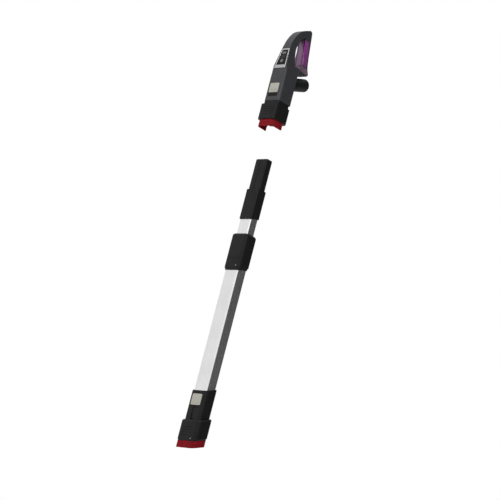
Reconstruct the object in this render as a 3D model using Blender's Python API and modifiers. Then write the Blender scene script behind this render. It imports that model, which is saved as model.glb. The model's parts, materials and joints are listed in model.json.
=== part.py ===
"""Control handle and telescopic wand of a cordless stick vacuum.

Metres, +Z up along the wand. The wand's axis is the Z axis, the control panel and both release
buttons face -Y, and z = 0 is level with the middle of the hand grip. At rest the wand is pulled
straight down out of the handle, to the lower stop of its slide.
"""

import math

import bmesh
import bpy
from mathutils import Matrix, Vector

# Handle body: the grey moulding, split into two halves on the plane x = 0.
BODY_WIDTH = 0.056
BODY_FRONT = -0.033
BODY_BACK = 0.016
BODY_END = -0.157
ARM_WIDTH = 0.026
SHELL_WALL = 0.0024
SHELL_ROUND = 0.0055
FRONT_ROUND = 0.0100
SPLIT_GAP = 0.0003
GAP = 0.0003
PRESS_GAP = 0.0004

# Control panel, a tapered plate that leans back with the handle's front face.
PANEL_LOW = (-0.0335, -0.0640)
PANEL_HIGH = (-0.0266, -0.0040)
PANEL_WIDE = 0.040
PANEL_NARROW = 0.026
PANEL_PROUD = 0.0006
BEZEL_THICK = 0.0030
BEZEL_SIDE = 0.0030
BEZEL_CHIN = 0.0100
BEZEL_TOP = 0.0050
LENS_THICK = 0.0022
LENS_SINK = 0.0004
POWER_RADIUS = 0.0055
POWER_HEIGHT = BEZEL_CHIN + 0.012
MODE_WIDTH = 0.0130
MODE_HEIGHT = 0.0055
MODE_DROP = 0.009
KEY_TRAVEL = 0.0008
KEY_PROUD = 0.0004
KEY_DEPTH = 0.0034
BOARD_THICK = 0.0014
SWITCH_HEIGHT = 0.0012
PANEL_LENGTH = math.hypot(PANEL_HIGH[0] - PANEL_LOW[0], PANEL_HIGH[1] - PANEL_LOW[1])
MODE_HEIGHT_UP = PANEL_LENGTH - BEZEL_TOP - MODE_DROP

# Grip bar: the soft liner wraps the front and the sides of the bar.
LINER_LOW = -0.028
LINER_HIGH = 0.041
LINER_SPINE = 0.0062
LOOP_MIDDLE_LOW = 0.012
LOOP_MIDDLE_HIGH = 0.019

# Four screws, each at (y, z), clamp the two halves of the handle.
SCREWS = [(-0.0130, 0.0120), (0.0300, 0.0610), (-0.0140, -0.0760), (0.0440, -0.0445)]
SCREW_RADIUS = 0.0013
SCREW_HEAD_RADIUS = 0.0027
SCREW_HEAD = 0.0011
SCREW_SINK = 0.0012
SCREW_BITE = 0.0065
BOSS_RADIUS = 0.0032

# Wand spigot and its nose ring, which plug up into the handle's socket.
SPIGOT_WIDTH = 0.042
SPIGOT_DEPTH = 0.021
SPIGOT_LENGTH = 0.0865
SPIGOT_WALL = 0.0018
NOSE_LENGTH = 0.0295
NOSE_ROUND = 0.0030
GROOVE_WIDTH = 0.008
GROOVE_DEPTH = 0.0008
RIB_WIDTH = 0.010
RIB_PROUD = 0.0010
RIB_HEIGHT = 0.019
RIB_LIFT = 0.004
SPIGOT_SINK = 0.0025

# Neck below the handle body, with the socket for the wand's spigot.
NECK_SIDE = 0.0035
NECK_WIDTH = SPIGOT_WIDTH + 2 * NECK_SIDE
NECK_FRONT = -0.0295
NECK_BACK = SPIGOT_DEPTH / 2 + 0.0024
SKIRT_END = -0.184
MOUTH = -0.211
NECK_TOP = -0.150
SOCKET_TOP = -0.118
SOCKET_WALL = 0.0017
SPIGOT_FIT = 0.0004

# Dusting brush that slides on the neck.
COLLAR_WALL = 0.0032
COLLAR_FRONT_STEP = 0.0055
COLLAR_TOP = -0.168
COLLAR_FIT = 0.0006
COLLAR_ROUND = 0.0105
FLANGE_THICK = 0.0045
BRISTLE_LENGTH = 0.019
BRISTLE_THICK = 0.0034
BRISTLE_BACK_OPEN = 0.004

# Hose port: a round stub that leaves the body's back, tipped up.
PORT_RADIUS = 0.018
PORT_BORE = PORT_RADIUS - 0.0030
PORT_TILT = math.radians(20.5)
PORT_START = (0.0128, -0.0925)
PORT_LENGTH = 0.0560
PORT_ROOT = 0.0050
PORT_ROOM = 0.0140
SWIVEL_LENGTH = 0.0130
SWIVEL_ROUND = 0.0045
SWIVEL_SPIGOT = 0.0060
SWIVEL_STEP = 0.0014
SWIVEL_FIT = 0.0004
DUCT_WALL = 0.0016

# Latch of the handle: one rocking lever under the button.
BUTTON_WIDTH = 0.032
BUTTON_LOW = -0.1345
BUTTON_HIGH = -0.1075
BUTTON_THICK = 0.0030
BUTTON_PROUD = 0.0012
BUTTON_FIT = 0.0004
BUTTON_SWING = 0.0008
LATCH_PIN_Y = -0.0215
LATCH_PIN_Z = -0.1410
LATCH_PIN_RADIUS = 0.0015
LATCH_PIN_LENGTH = 0.0172
EAR_THICK = 0.0030
EAR_GAP = 0.0006
LATCH_REACH = 0.026
LEVER_WIDTH = 0.010
PIN_FIT = 0.0003

# Wand. Its levels follow from how far it is pulled out of the handle.
WAND_TRAVEL = 0.191
OUTER_WIDTH = 0.048
OUTER_DEPTH = 0.0355
TUBE_ROUND = 0.0075
TUBE_WALL = 0.0012
TUBE_PLAY = 0.0023
INNER_WIDTH = OUTER_WIDTH - 2 * (TUBE_WALL + TUBE_PLAY)
INNER_DEPTH = OUTER_DEPTH - 2 * (TUBE_WALL + TUBE_PLAY)
INNER_LENGTH = 0.372
INNER_SEAT = 0.014
INNER_SHOWN = 0.0450
BUSH_LENGTH = 0.017
BLOCK_WIDTH = INNER_WIDTH + 0.004
BLOCK_DEPTH = INNER_DEPTH + 0.0055
BLOCK_LENGTH = 0.081
BLOCK_STEP = 0.008
BLOCK_SLANT = math.tan(math.radians(13))
RACK_WIDTH = 0.008
RACK_PITCH = 0.012
RACK_TOOTH = 0.0009
RACK_SLOT = 0.0014

# Telescopic lock at the top of the outer tube.
LOCK_WIDTH = OUTER_WIDTH + 0.010
LOCK_DEPTH = OUTER_DEPTH + 0.0065
SLEEVE_LENGTH = 0.068
LOCK_BASE_LENGTH = 0.024
LOCK_SLANT = math.tan(math.radians(14))

# Lower coupling, which plugs onto the floor tool and carries the second dusting brush.
TUBE_SHOWN = 0.331
COUPLING_WIDTH = OUTER_WIDTH + 0.009
COUPLING_DEPTH = OUTER_DEPTH + 0.0055
COUPLING_LENGTH = 0.134
COUPLING_SEAT = 0.013
COUPLING_LEDGE = 0.001
COUPLING_DUCT_WIDTH = COUPLING_WIDTH - 0.015
COUPLING_DUCT_DEPTH = COUPLING_DEPTH - 0.017
SLANT = math.tan(math.radians(20))
LOWER_BUTTON_WIDTH = 0.034
LOWER_BUTTON_DROP = 0.0165
LOWER_BUTTON_HEIGHT = 0.030
LOWER_COLLAR_DROP = 0.0790
LOWER_COLLAR_LENGTH = 0.0550
LOWER_COLLAR_WIDTH = COUPLING_WIDTH + 0.014
LOWER_COLLAR_DEPTH = COUPLING_DEPTH + 0.008
LOWER_PIN_DROP = 0.0050
LOWER_PIN_Y = -COUPLING_DEPTH / 2 + 0.0036
LOWER_REACH = 0.030

BLOCK_TOP = MOUTH - WAND_TRAVEL - PRESS_GAP
SPIGOT_TOP = BLOCK_TOP + SPIGOT_LENGTH
BLOCK_BOTTOM = BLOCK_TOP - BLOCK_LENGTH
INNER_TOP = BLOCK_BOTTOM + INNER_SEAT
INNER_BOTTOM = INNER_TOP - INNER_LENGTH
LOCK_TOP = BLOCK_BOTTOM - INNER_SHOWN
BASE_TOP = LOCK_TOP - SLEEVE_LENGTH - GAP
LOCK_BOTTOM = BASE_TOP - LOCK_BASE_LENGTH
COUPLING_TOP = LOCK_BOTTOM - TUBE_SHOWN
COUPLING_BOTTOM = COUPLING_TOP - COUPLING_LENGTH
OUTER_TOP = BASE_TOP + 0.040
OUTER_BOTTOM = COUPLING_TOP - COUPLING_SEAT


def front_corner(front, half, radius, steps=5):
    """Half widths down a rounded front corner, as (y, half width) from the front face backwards."""
    turns = [math.pi / 2 * step / steps for step in range(steps + 1)]
    return [(front + radius * (1 - math.cos(a)), half - radius * (1 - math.sin(a))) for a in turns]


# Side outlines as (y, z, smooth). A point that isn't smooth is a corner.
BODY_SIDE = [
    (BODY_FRONT, BODY_END, False),
    (PANEL_LOW[0], PANEL_LOW[1], False),
    (PANEL_HIGH[0], PANEL_HIGH[1], False),
    (-0.0235, 0.0130, True),
    (-0.0165, 0.0305, True),
    (-0.0068, 0.0465, True),
    (0.0045, 0.0580, True),
    (0.0180, 0.0660, True),
    (0.0350, 0.0735, False),
    (0.0415, 0.0710, True),
    (0.0440, 0.0620, True),
    (0.0475, 0.0360, True),
    (0.0525, 0.0000, True),
    (0.0575, -0.0250, True),
    (0.0625, -0.0360, True),
    (0.0665, -0.0425, False),
    (0.0625, -0.0490, False),
    (BODY_BACK, -0.0675, False),
    (BODY_BACK, BODY_END, False),
]
FINGER_LOOP = [
    (-0.0036, -0.0080, True),
    (-0.0010, 0.0090, True),
    (0.0075, 0.0290, True),
    (0.0175, 0.0445, False),
    (0.0238, 0.0460, False),
    (0.0271, 0.0200, True),
    (0.0300, -0.0050, True),
    (0.0342, -0.0310, False),
    (0.0290, -0.0345, True),
    (0.0030, -0.0425, False),
    (-0.0020, -0.0300, True),
]
BODY_HALF_WIDTHS = [
    (BODY_END - 0.01, BODY_WIDTH / 2),
    (-0.085, BODY_WIDTH / 2),
    (-0.064, BODY_WIDTH / 2 - 0.0035),
    (-0.0415, BODY_WIDTH / 2 - 0.0071),
    (-0.015, BODY_WIDTH / 2 - 0.0112),
    (0.010, ARM_WIDTH / 2),
    (0.080, ARM_WIDTH / 2),
]
BACK_HALF_WIDTHS = [
    (-0.050, BODY_WIDTH / 2 - FRONT_ROUND),
    *front_corner(PANEL_LOW[0] - 0.0001, BODY_WIDTH / 2, FRONT_ROUND),
    (BODY_BACK - 0.002, BODY_WIDTH / 2),
    (0.026, BODY_WIDTH / 2 - 0.0085),
    (0.036, BODY_WIDTH / 2 - 0.0118),
    (0.050, ARM_WIDTH / 2),
    (0.080, ARM_WIDTH / 2),
]

UPRIGHT = Matrix.Identity(4)
SIDEWAYS = Matrix(((0, 0, 1, 0), (1, 0, 0, 0), (0, 1, 0, 0), (0, 0, 0, 1)))
FORWARD = Matrix(((1, 0, 0, 0), (0, 0, -1, 0), (0, 1, 0, 0), (0, 0, 0, 1)))


def clear_scene():
    for found in list(bpy.data.objects):
        bpy.data.objects.remove(found, do_unlink=True)


def collection(name):
    made = bpy.data.collections.new(name)
    bpy.context.scene.collection.children.link(made)
    return made


def finish_of(name, colour, roughness, metallic=0.0):
    made = bpy.data.materials.new(name)
    made.use_nodes = True
    shader = made.node_tree.nodes["Principled BSDF"]
    shader.inputs["Base Color"].default_value = (*colour, 1.0)
    shader.inputs["Roughness"].default_value = roughness
    shader.inputs["Metallic"].default_value = metallic
    return made


clear_scene()
PARTS = collection("vacuum_handle_and_wand")
CUTTERS = collection("cutters")
FINISHES = {
    "grey": finish_of("grey_shell", (0.046, 0.047, 0.050), 0.45),
    "black": finish_of("black_moulding", (0.016, 0.016, 0.017), 0.42),
    "liner": finish_of("grip_liner", (0.27, 0.05, 0.26), 0.38),
    "chrome": finish_of("chrome_trim", (0.78, 0.78, 0.79), 0.12, 1.0),
    "gloss": finish_of("gloss_panel", (0.012, 0.012, 0.014), 0.08),
    "key": finish_of("key_grey", (0.42, 0.43, 0.45), 0.35),
    "silver": finish_of("champagne_button", (0.62, 0.59, 0.54), 0.30, 0.7),
    "tube": finish_of("satin_aluminium", (0.66, 0.67, 0.68), 0.28, 1.0),
    "bristle": finish_of("red_bristle", (0.50, 0.03, 0.03), 0.70),
    "steel": finish_of("steel", (0.55, 0.55, 0.56), 0.25, 1.0),
    "board": finish_of("board_green", (0.03, 0.16, 0.07), 0.50),
    "rubber": finish_of("seal_rubber", (0.03, 0.03, 0.03), 0.80),
    "acetal": finish_of("bush_white", (0.75, 0.74, 0.70), 0.45),
}


def corner_arc(centre, radius, start, steps):
    turns = [start + math.pi / 2 * step / steps for step in range(steps + 1)]
    return [(centre[0] + radius * math.cos(a), centre[1] + radius * math.sin(a)) for a in turns]


def rounded(width, depth, radius, centre=(0.0, 0.0), steps=3):
    """Rounded rectangle, anticlockwise. Every one with the same steps has the same number of points."""
    across, along = width / 2 - radius, depth / 2 - radius
    points = []
    for index, (x, y) in enumerate([(1, 1), (-1, 1), (-1, -1), (1, -1)]):
        corner = (centre[0] + x * across, centre[1] + y * along)
        points += corner_arc(corner, radius, index * math.pi / 2, steps)
    return points


def circle(radius, centre=(0.0, 0.0), count=16):
    turns = [2 * math.pi * step / count for step in range(count)]
    return [(centre[0] + radius * math.cos(a), centre[1] + radius * math.sin(a)) for a in turns]


def band(width, front, back, radius, grow=0.0, steps=3):
    """Rounded rectangle between two faces that are named by their y, made larger all round by grow."""
    depth = back - front
    return rounded(width + 2 * grow, depth + 2 * grow, radius + grow, (0.0, (front + back) / 2), steps)


def smoothed(outline, steps=3):
    """Points along an outline: a Hermite curve through its smooth points, straight between corners."""
    points = [Vector(entry[:2]) for entry in outline]
    count = len(points)
    slopes = []
    for index, entry in enumerate(outline):
        across = (points[(index + 1) % count] - points[index - 1]) / 2
        slopes.append(across if entry[2] else None)
    found = []
    for index in range(count):
        after = (index + 1) % count
        start, end = points[index], points[after]
        found.append(tuple(start))
        if slopes[index] is None and slopes[after] is None:
            continue
        leave = slopes[index] or (end - start)
        arrive = slopes[after] or (end - start)
        for step in range(1, steps):
            t = step / steps
            found.append(tuple(hermite(start, end, leave, arrive, t)))
    return found


def hermite(start, end, leave, arrive, t):
    return (
        start * (2 * t**3 - 3 * t**2 + 1)
        + leave * (t**3 - 2 * t**2 + t)
        + end * (3 * t**2 - 2 * t**3)
        + arrive * (t**3 - t**2)
    )


def inset(points, wall):
    """The outline moved to its left-hand side by wall, with mitred corners."""
    moved = []
    count = len(points)
    for index in range(count):
        before, here, after = (Vector(points[(index + step) % count]) for step in (-1, 0, 1))
        first, second = (here - before).normalized(), (after - here).normalized()
        normal = Vector((-first.y - second.y, first.x + second.x)).normalized()
        reach = wall / max(0.5, normal.dot(Vector((-first.y, first.x))))
        moved.append(tuple(here + normal * reach))
    return moved


def put(mesh_maker, name):
    made = bpy.data.objects.new(name, mesh_maker)
    bpy.context.scene.collection.objects.link(made)
    return made


def extruded(name, loops, low, high, frame=UPRIGHT):
    """A flat outline with any holes in it, made thick from low to high along the frame's third axis."""
    curve = bpy.data.curves.new(name, "CURVE")
    curve.dimensions = "2D"
    curve.fill_mode = "BOTH"
    curve.extrude = (high - low) / 2
    for loop in loops:
        spline = curve.splines.new("POLY")
        spline.points.add(len(loop) - 1)
        for point, place in zip(spline.points, loop):
            point.co = (place[0], place[1], 0.0, 1.0)
        spline.use_cyclic_u = True
    flat = put(curve, name)
    return meshed(flat, frame @ Matrix.Translation((0.0, 0.0, (low + high) / 2)))


def meshed(curve_object, matrix):
    """Swaps a curve object for a closed mesh object in world coordinates."""
    name = curve_object.name
    bpy.context.view_layer.update()
    graph = bpy.context.evaluated_depsgraph_get()
    mesh = bpy.data.meshes.new_from_object(curve_object.evaluated_get(graph))
    mesh.transform(matrix)
    bpy.data.objects.remove(curve_object, do_unlink=True)
    shape = bmesh.new()
    shape.from_mesh(mesh)
    bmesh.ops.remove_doubles(shape, verts=shape.verts, dist=0.000001)
    bmesh.ops.recalc_face_normals(shape, faces=shape.faces)
    shape.to_mesh(mesh)
    shape.free()
    mesh.name = name
    return put(mesh, name)


def lofted(name, rings, closed=True):
    """Skin between sections of equal point count. Closed, it also joins the last ring to the first."""
    shape = bmesh.new()
    rows = [[shape.verts.new(place) for place in ring] for ring in rings]
    pairs = list(zip(rows, rows[1:]))
    if closed:
        pairs.append((rows[-1], rows[0]))
    count = len(rows[0])
    for lower, upper in pairs:
        for index in range(count):
            after = (index + 1) % count
            shape.faces.new((lower[index], lower[after], upper[after], upper[index]))
    bmesh.ops.recalc_face_normals(shape, faces=shape.faces)
    mesh = bpy.data.meshes.new(name)
    shape.to_mesh(mesh)
    shape.free()
    return put(mesh, name)


def level(points, z, slope=0.0):
    """Lifts a flat section to height z, tipped so that it rises by slope towards the back."""
    return [(x, y, z + slope * y) for x, y in points]


def box(name, low, high):
    """A block between two opposite corners."""
    centre = [(a + b) / 2 for a, b in zip(low, high)]
    size = [b - a for a, b in zip(low, high)]
    bpy.ops.mesh.primitive_cube_add(size=1.0, location=centre, scale=size)
    made = bpy.context.active_object
    bpy.ops.object.transform_apply(location=True, rotation=True, scale=True)
    made.name = name
    return made


def rod(name, radius, length, matrix, sides=16):
    """A cylinder from the matrix's origin along its third axis."""
    bpy.ops.mesh.primitive_cylinder_add(vertices=sides, radius=radius, depth=length)
    made = bpy.context.active_object
    made.data.transform(matrix @ Matrix.Translation((0.0, 0.0, length / 2)))
    made.name = name
    return made


def boolean(target, other, operation):
    """Leaves a live Boolean on the target, and puts its tool with the cutters."""
    step = target.modifiers.new(operation.lower(), "BOOLEAN")
    step.operation = operation
    step.solver = "EXACT"
    step.object = other
    if other.name not in CUTTERS.objects:
        for home in list(other.users_collection):
            home.objects.unlink(other)
        CUTTERS.objects.link(other)
    other.hide_render = True
    other.display_type = "WIRE"
    return target


def cut(target, *tools):
    for tool in tools:
        boolean(target, tool, "DIFFERENCE")
    return target


def keep(target, tool):
    return boolean(target, tool, "INTERSECT")


def join(target, *tools):
    for tool in tools:
        boolean(target, tool, "UNION")
    return target


def settled(target):
    """Turns the object's modifiers into plain mesh."""
    bpy.context.view_layer.update()
    graph = bpy.context.evaluated_depsgraph_get()
    mesh = bpy.data.meshes.new_from_object(target.evaluated_get(graph))
    target.modifiers.clear()
    target.data = mesh
    return target


def body(name, place):
    """An empty on a joint's axis, which carries the pieces that move with that joint."""
    anchor = bpy.data.objects.new(name, None)
    PARTS.objects.link(anchor)
    anchor.location = place
    bpy.context.view_layer.update()
    return anchor


def fit(piece, name, finish, anchor):
    """Names a finished piece, gives it its material and hangs it on its body."""
    piece.name = name
    piece.data.name = name
    piece.data.materials.clear()
    piece.data.materials.append(FINISHES[finish])
    for home in list(piece.users_collection):
        home.objects.unlink(piece)
    PARTS.objects.link(piece)
    piece.parent = anchor
    piece.matrix_parent_inverse = anchor.matrix_world.inverted()
    return piece


PANEL_RUN = Vector((0.0, PANEL_HIGH[0] - PANEL_LOW[0], PANEL_HIGH[1] - PANEL_LOW[1]))
PANEL_UP = PANEL_RUN.normalized()
PANEL_OUT = Vector((1.0, 0.0, 0.0)).cross(PANEL_UP)


def frame_at(place, across, up):
    """Matrix whose axes are across, up and their cross product, with its origin at place."""
    out = across.cross(up)
    columns = Matrix((across, up, out)).transposed().to_4x4()
    return Matrix.Translation(place) @ columns


PANEL_FRAME = frame_at(Vector((0.0, *PANEL_LOW)), Vector((1.0, 0.0, 0.0)), PANEL_UP)
PORT_AIM = Vector((0.0, math.cos(PORT_TILT), math.sin(PORT_TILT)))
PORT_UP = Vector((0.0, -math.sin(PORT_TILT), math.cos(PORT_TILT)))
PORT_FRAME = frame_at(Vector((0.0, *PORT_START)), PORT_UP.cross(PORT_AIM), PORT_UP)


def panel_outline(margin):
    """The bezel's tapered outline, pulled in by margin."""
    low, high = margin, PANEL_LENGTH - margin
    wide, narrow = PANEL_WIDE / 2 - margin, PANEL_NARROW / 2 - margin
    return [(-wide, low), (wide, low), (narrow, high), (-narrow, high)]


def lens_outline(margin):
    """The glossy plate's outline inside the bezel, pulled in by margin."""
    low, high = BEZEL_CHIN + margin, PANEL_LENGTH - BEZEL_TOP - margin
    taper = (PANEL_WIDE - PANEL_NARROW) / 2 / PANEL_LENGTH
    half = [PANEL_WIDE / 2 - taper * height - BEZEL_SIDE - margin for height in (low, high)]
    return [(-half[0], low), (half[0], low), (half[1], high), (-half[1], high)]


def mirrored_outline(half_widths):
    """(half width at each height) turned into an outline that is the same on both sides of x = 0."""
    right = [(half, height) for height, half in half_widths]
    left = [(-half, height) for height, half in reversed(half_widths)]
    return right + left


def handle_solid(wall):
    """The whole handle moulding as a solid, pulled in by wall on every side."""
    outer = inset(smoothed(BODY_SIDE)[::-1], wall)
    loop = inset(smoothed(FINGER_LOOP)[::-1], -wall)
    solid = extruded("handle_solid", [outer, loop], -BODY_WIDTH, BODY_WIDTH, SIDEWAYS)
    front = [(height, half - wall) for height, half in BODY_HALF_WIDTHS]
    plan = [(height, half - wall) for height, half in BACK_HALF_WIDTHS]
    keep(solid, extruded("front_view", [mirrored_outline(front)], -0.1, 0.1, FORWARD))
    keep(solid, extruded("plan_view", [mirrored_outline(plan)], -0.3, 0.2))
    return settled(solid)


def rounded_handle():
    """The handle's outside, with its long edges rounded."""
    solid = handle_solid(0.0)
    step = solid.modifiers.new("rounding", "BEVEL")
    step.width = SHELL_ROUND
    step.segments = 2
    step.limit_method = "ANGLE"
    step.angle_limit = math.radians(50)
    return settled(solid)


def bar_zone(name, margin):
    """The stretch of the grip bar that the liner takes up, made larger by margin."""
    low, high = LINER_LOW - margin, LINER_HIGH + margin
    spine = LINER_SPINE - margin
    outline = [
        (LOOP_MIDDLE_LOW, low),
        (bar_back(low) - spine, low),
        (bar_back(high) - spine, high),
        (LOOP_MIDDLE_HIGH, high),
    ]
    return extruded(name, [outline], -BODY_WIDTH, BODY_WIDTH, SIDEWAYS)


def bar_back(z):
    """Where the back of the grip bar is at height z."""
    ends = [entry for entry in BODY_SIDE if entry[0] > 0.04 and entry[1] > -0.04]
    return value_at(sorted((height, back) for back, height, _ in ends), z)


def copy_of(source, name):
    made = bpy.data.objects.new(name, source.data.copy())
    bpy.context.scene.collection.objects.link(made)
    return made


def screw_side(y, z):
    """Half width of the handle at a screw, where its head sits."""
    by_height = value_at(BODY_HALF_WIDTHS, z)
    by_depth = value_at(BACK_HALF_WIDTHS, y)
    return min(by_height, by_depth)


def value_at(table, place):
    """Straight-line reading of a table of (place, value)."""
    for (first, low), (second, high) in zip(table, table[1:]):
        if first <= place <= second:
            return low + (high - low) * (place - first) / (second - first)
    return table[-1][1]


def across_at(y, z, x=0.0):
    return Matrix.Translation((x, y, z)) @ Matrix.Rotation(math.pi / 2, 4, "Y")


def handle_shells(anchor):
    """Left and right halves of the hollow grey handle."""
    outside = rounded_handle()
    for side, name in ((1, "shell_right"), (-1, "shell_left")):
        half = copy_of(outside, name)
        cut(half, handle_solid(SHELL_WALL), bar_zone("liner_room", GAP), *handle_openings())
        for y, z in SCREWS:
            screw_seat(half, side, y, z)
        edge = sorted((side * SPLIT_GAP / 2, side * 0.1))
        keep(half, box("half_space", (edge[0], -0.1, -0.3), (edge[1], 0.1, 0.2)))
        fit(half, name, "grey", anchor)
    bpy.data.objects.remove(outside, do_unlink=True)


def screw_seat(half, side, y, z):
    """A boss with a pilot hole on the right half, and a countersunk hole on the left half."""
    wide = screw_side(y, z)
    if side > 0:
        depth = wide - SHELL_WALL / 2 - SPLIT_GAP
        join(half, rod("boss", BOSS_RADIUS, depth, across_at(y, z, SPLIT_GAP), 12))
        cut(half, rod("pilot", SCREW_RADIUS + GAP, SCREW_BITE + 0.002, across_at(y, z, -0.001), 12))
        return
    shank = rod("shank_hole", SCREW_RADIUS + GAP, 0.05, across_at(y, z, -0.05), 12)
    depth = 0.02 + SCREW_SINK
    seat = rod("head_room", SCREW_HEAD_RADIUS + GAP, depth, across_at(y, z, -wide - 0.02), 12)
    cut(half, shank, seat)


def handle_openings():
    """Cutters for what passes through the shells: neck, panel, button and hose port."""
    neck = extruded("neck_room", [neck_outline(GAP)], MOUTH, NECK_TOP + 0.002)
    panel = extruded("panel_room", [panel_outline(-GAP)], -0.0075, 0.01, PANEL_FRAME)
    button = extruded(
        "button_room",
        [button_outline(BUTTON_WIDTH, BUTTON_LOW, BUTTON_HIGH, BUTTON_FIT, BUTTON_SWING)],
        -BODY_FRONT - 0.006,
        -BODY_FRONT + 0.006,
        FORWARD,
    )
    port_line = PORT_FRAME @ Matrix.Translation((0, 0, -PORT_ROOM))
    port = rod("port_room", PORT_RADIUS + GAP, PORT_ROOM + 2 * PORT_LENGTH, port_line, 24)
    return neck, panel, button, port


def button_outline(width, low, high, grow=0.0, rise=0.0):
    """A button's face, or its opening: larger by grow all round and taller by rise for its swing."""
    high += rise
    centre = (0.0, (low + high) / 2)
    return rounded(width + 2 * grow, high - low + 2 * grow, 0.003 + grow, centre, 2)


def screws(anchor):
    for index, (y, z) in enumerate(SCREWS):
        wide = screw_side(y, z)
        seat = -wide + SCREW_SINK - GAP
        shank = seat - SCREW_HEAD / 2
        screw = rod("screw", SCREW_RADIUS, SCREW_BITE - shank, across_at(y, z, shank), 12)
        head_line = across_at(y, z, seat - SCREW_HEAD)
        join(screw, rod("head", SCREW_HEAD_RADIUS, SCREW_HEAD, head_line, 12))
        fit(settled(screw), f"shell_screw_{index + 1}", "steel", anchor)


def grip_liner(anchor):
    liner = rounded_handle()
    keep(liner, bar_zone("liner_zone", 0.0))
    cut(liner, handle_solid(SHELL_WALL))
    fit(liner, "grip_liner", "liner", anchor)


def neck_outline(grow=0.0):
    return band(NECK_WIDTH, NECK_FRONT, NECK_BACK, 0.008, grow)


def socket_outline(grow=0.0):
    return rounded(SPIGOT_WIDTH + 2 * grow, SPIGOT_DEPTH + 2 * grow, 0.003 + grow)


def wand_socket(anchor):
    """Neck with the spigot's socket, the skirt that carries on the body's outline, and the latch pin's two ears."""
    neck = extruded("wand_socket", [neck_outline()], MOUTH, NECK_TOP)
    sleeve = extruded("sleeve", [socket_outline(SPIGOT_FIT + SOCKET_WALL)], NECK_TOP - 0.02, SOCKET_TOP)
    join(neck, sleeve)
    skirt = [band(BODY_WIDTH, BODY_FRONT, BODY_BACK, FRONT_ROUND)]
    join(neck, extruded("skirt", skirt, SKIRT_END, BODY_END - GAP))
    ear_top = LATCH_PIN_Z + 0.0040
    for side in (-1, 1):
        near = LEVER_WIDTH / 2 + EAR_GAP
        far = near + EAR_THICK
        low = (min(side * near, side * far), LATCH_PIN_Y - 0.0040, NECK_TOP - 0.004)
        high = (max(side * near, side * far), LATCH_PIN_Y + 0.0040, ear_top)
        join(neck, box("ear", low, high))
    cut(neck, extruded("spigot_room", [socket_outline(SPIGOT_FIT)], MOUTH - 0.01, SOCKET_TOP + 0.01))
    half = LEVER_WIDTH / 2 + EAR_GAP
    slot_low = LATCH_PIN_Z - LATCH_REACH - 0.006
    front = NECK_FRONT - 0.001
    back = -SPIGOT_DEPTH / 2 - 0.0005
    cut(neck, box("lever_room", (-half, front, slot_low), (half, back, NECK_TOP + 0.001)))
    tip = GROOVE_WIDTH / 2 - 0.0005
    tip_low = LATCH_PIN_Z - LATCH_REACH - 0.0015
    cut(neck, box("tip_room", (-tip, -0.015, tip_low), (tip, -0.009, tip_low + 0.012)))
    pin_line = across_at(LATCH_PIN_Y, LATCH_PIN_Z, -LATCH_PIN_LENGTH)
    cut(neck, rod("pin_room", LATCH_PIN_RADIUS + PIN_FIT / 3, 2 * LATCH_PIN_LENGTH, pin_line))
    rib = RIB_WIDTH / 2 + SPIGOT_FIT
    rib_y = SPIGOT_DEPTH / 2 + RIB_PROUD + SPIGOT_FIT
    rib_top = MOUTH + RIB_HEIGHT + 0.002
    cut(neck, box("rib_room", (-rib, 0.005, MOUTH - 0.01), (rib, rib_y, rib_top)))
    fit(neck, "wand_socket", "black", anchor)


def latch(anchor):
    """Rocking lever with the release button at its top and the catch at its foot."""
    button = extruded(
        "release_button",
        [button_outline(BUTTON_WIDTH, BUTTON_LOW, BUTTON_HIGH)],
        -BODY_FRONT + BUTTON_PROUD - BUTTON_THICK,
        -BODY_FRONT + BUTTON_PROUD,
        FORWARD,
    )
    fit(button, "release_button", "silver", anchor)
    foot = LATCH_PIN_Z - LATCH_REACH
    front = BODY_FRONT - BUTTON_PROUD + BUTTON_THICK + GAP
    tip = -SPIGOT_DEPTH / 2 + GROOVE_DEPTH - 0.0005
    side = [
        (front, BUTTON_LOW + 0.005),
        (front + 0.0030, LATCH_PIN_Z + 0.001),
        (LATCH_PIN_Y - 0.0030, foot),
        (tip, foot),
        (tip, foot + 0.0025),
        (LATCH_PIN_Y + 0.0014, foot + 0.0070),
        (LATCH_PIN_Y + 0.0030, LATCH_PIN_Z),
        (LATCH_PIN_Y + 0.0010, LATCH_PIN_Z + 0.0030),
        (front + 0.0030, BUTTON_LOW + 0.0100),
        (front + 0.0030, BUTTON_HIGH - 0.005),
        (front, BUTTON_HIGH - 0.005),
    ]
    half = LEVER_WIDTH / 2
    lever = extruded("latch_lever", [side], -half, half, SIDEWAYS)
    narrow = GROOVE_WIDTH / 2 - 0.0012
    for sign in (-1, 1):
        low = (min(sign * narrow, sign * 0.01), -0.0145, foot - 0.002)
        high = (max(sign * narrow, sign * 0.01), 0.0, foot + 0.010)
        cut(lever, box("tip_side", low, high))
    pin_line = across_at(LATCH_PIN_Y, LATCH_PIN_Z, -LATCH_PIN_LENGTH)
    cut(lever, rod("pin_hole", LATCH_PIN_RADIUS + PIN_FIT, 2 * LATCH_PIN_LENGTH, pin_line))
    fit(lever, "latch_lever", "black", anchor)


def latch_pin(anchor):
    pin_line = across_at(LATCH_PIN_Y, LATCH_PIN_Z, -LATCH_PIN_LENGTH / 2)
    pin = rod("latch_pin", LATCH_PIN_RADIUS, LATCH_PIN_LENGTH, pin_line)
    fit(pin, "latch_pin", "steel", anchor)


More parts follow.
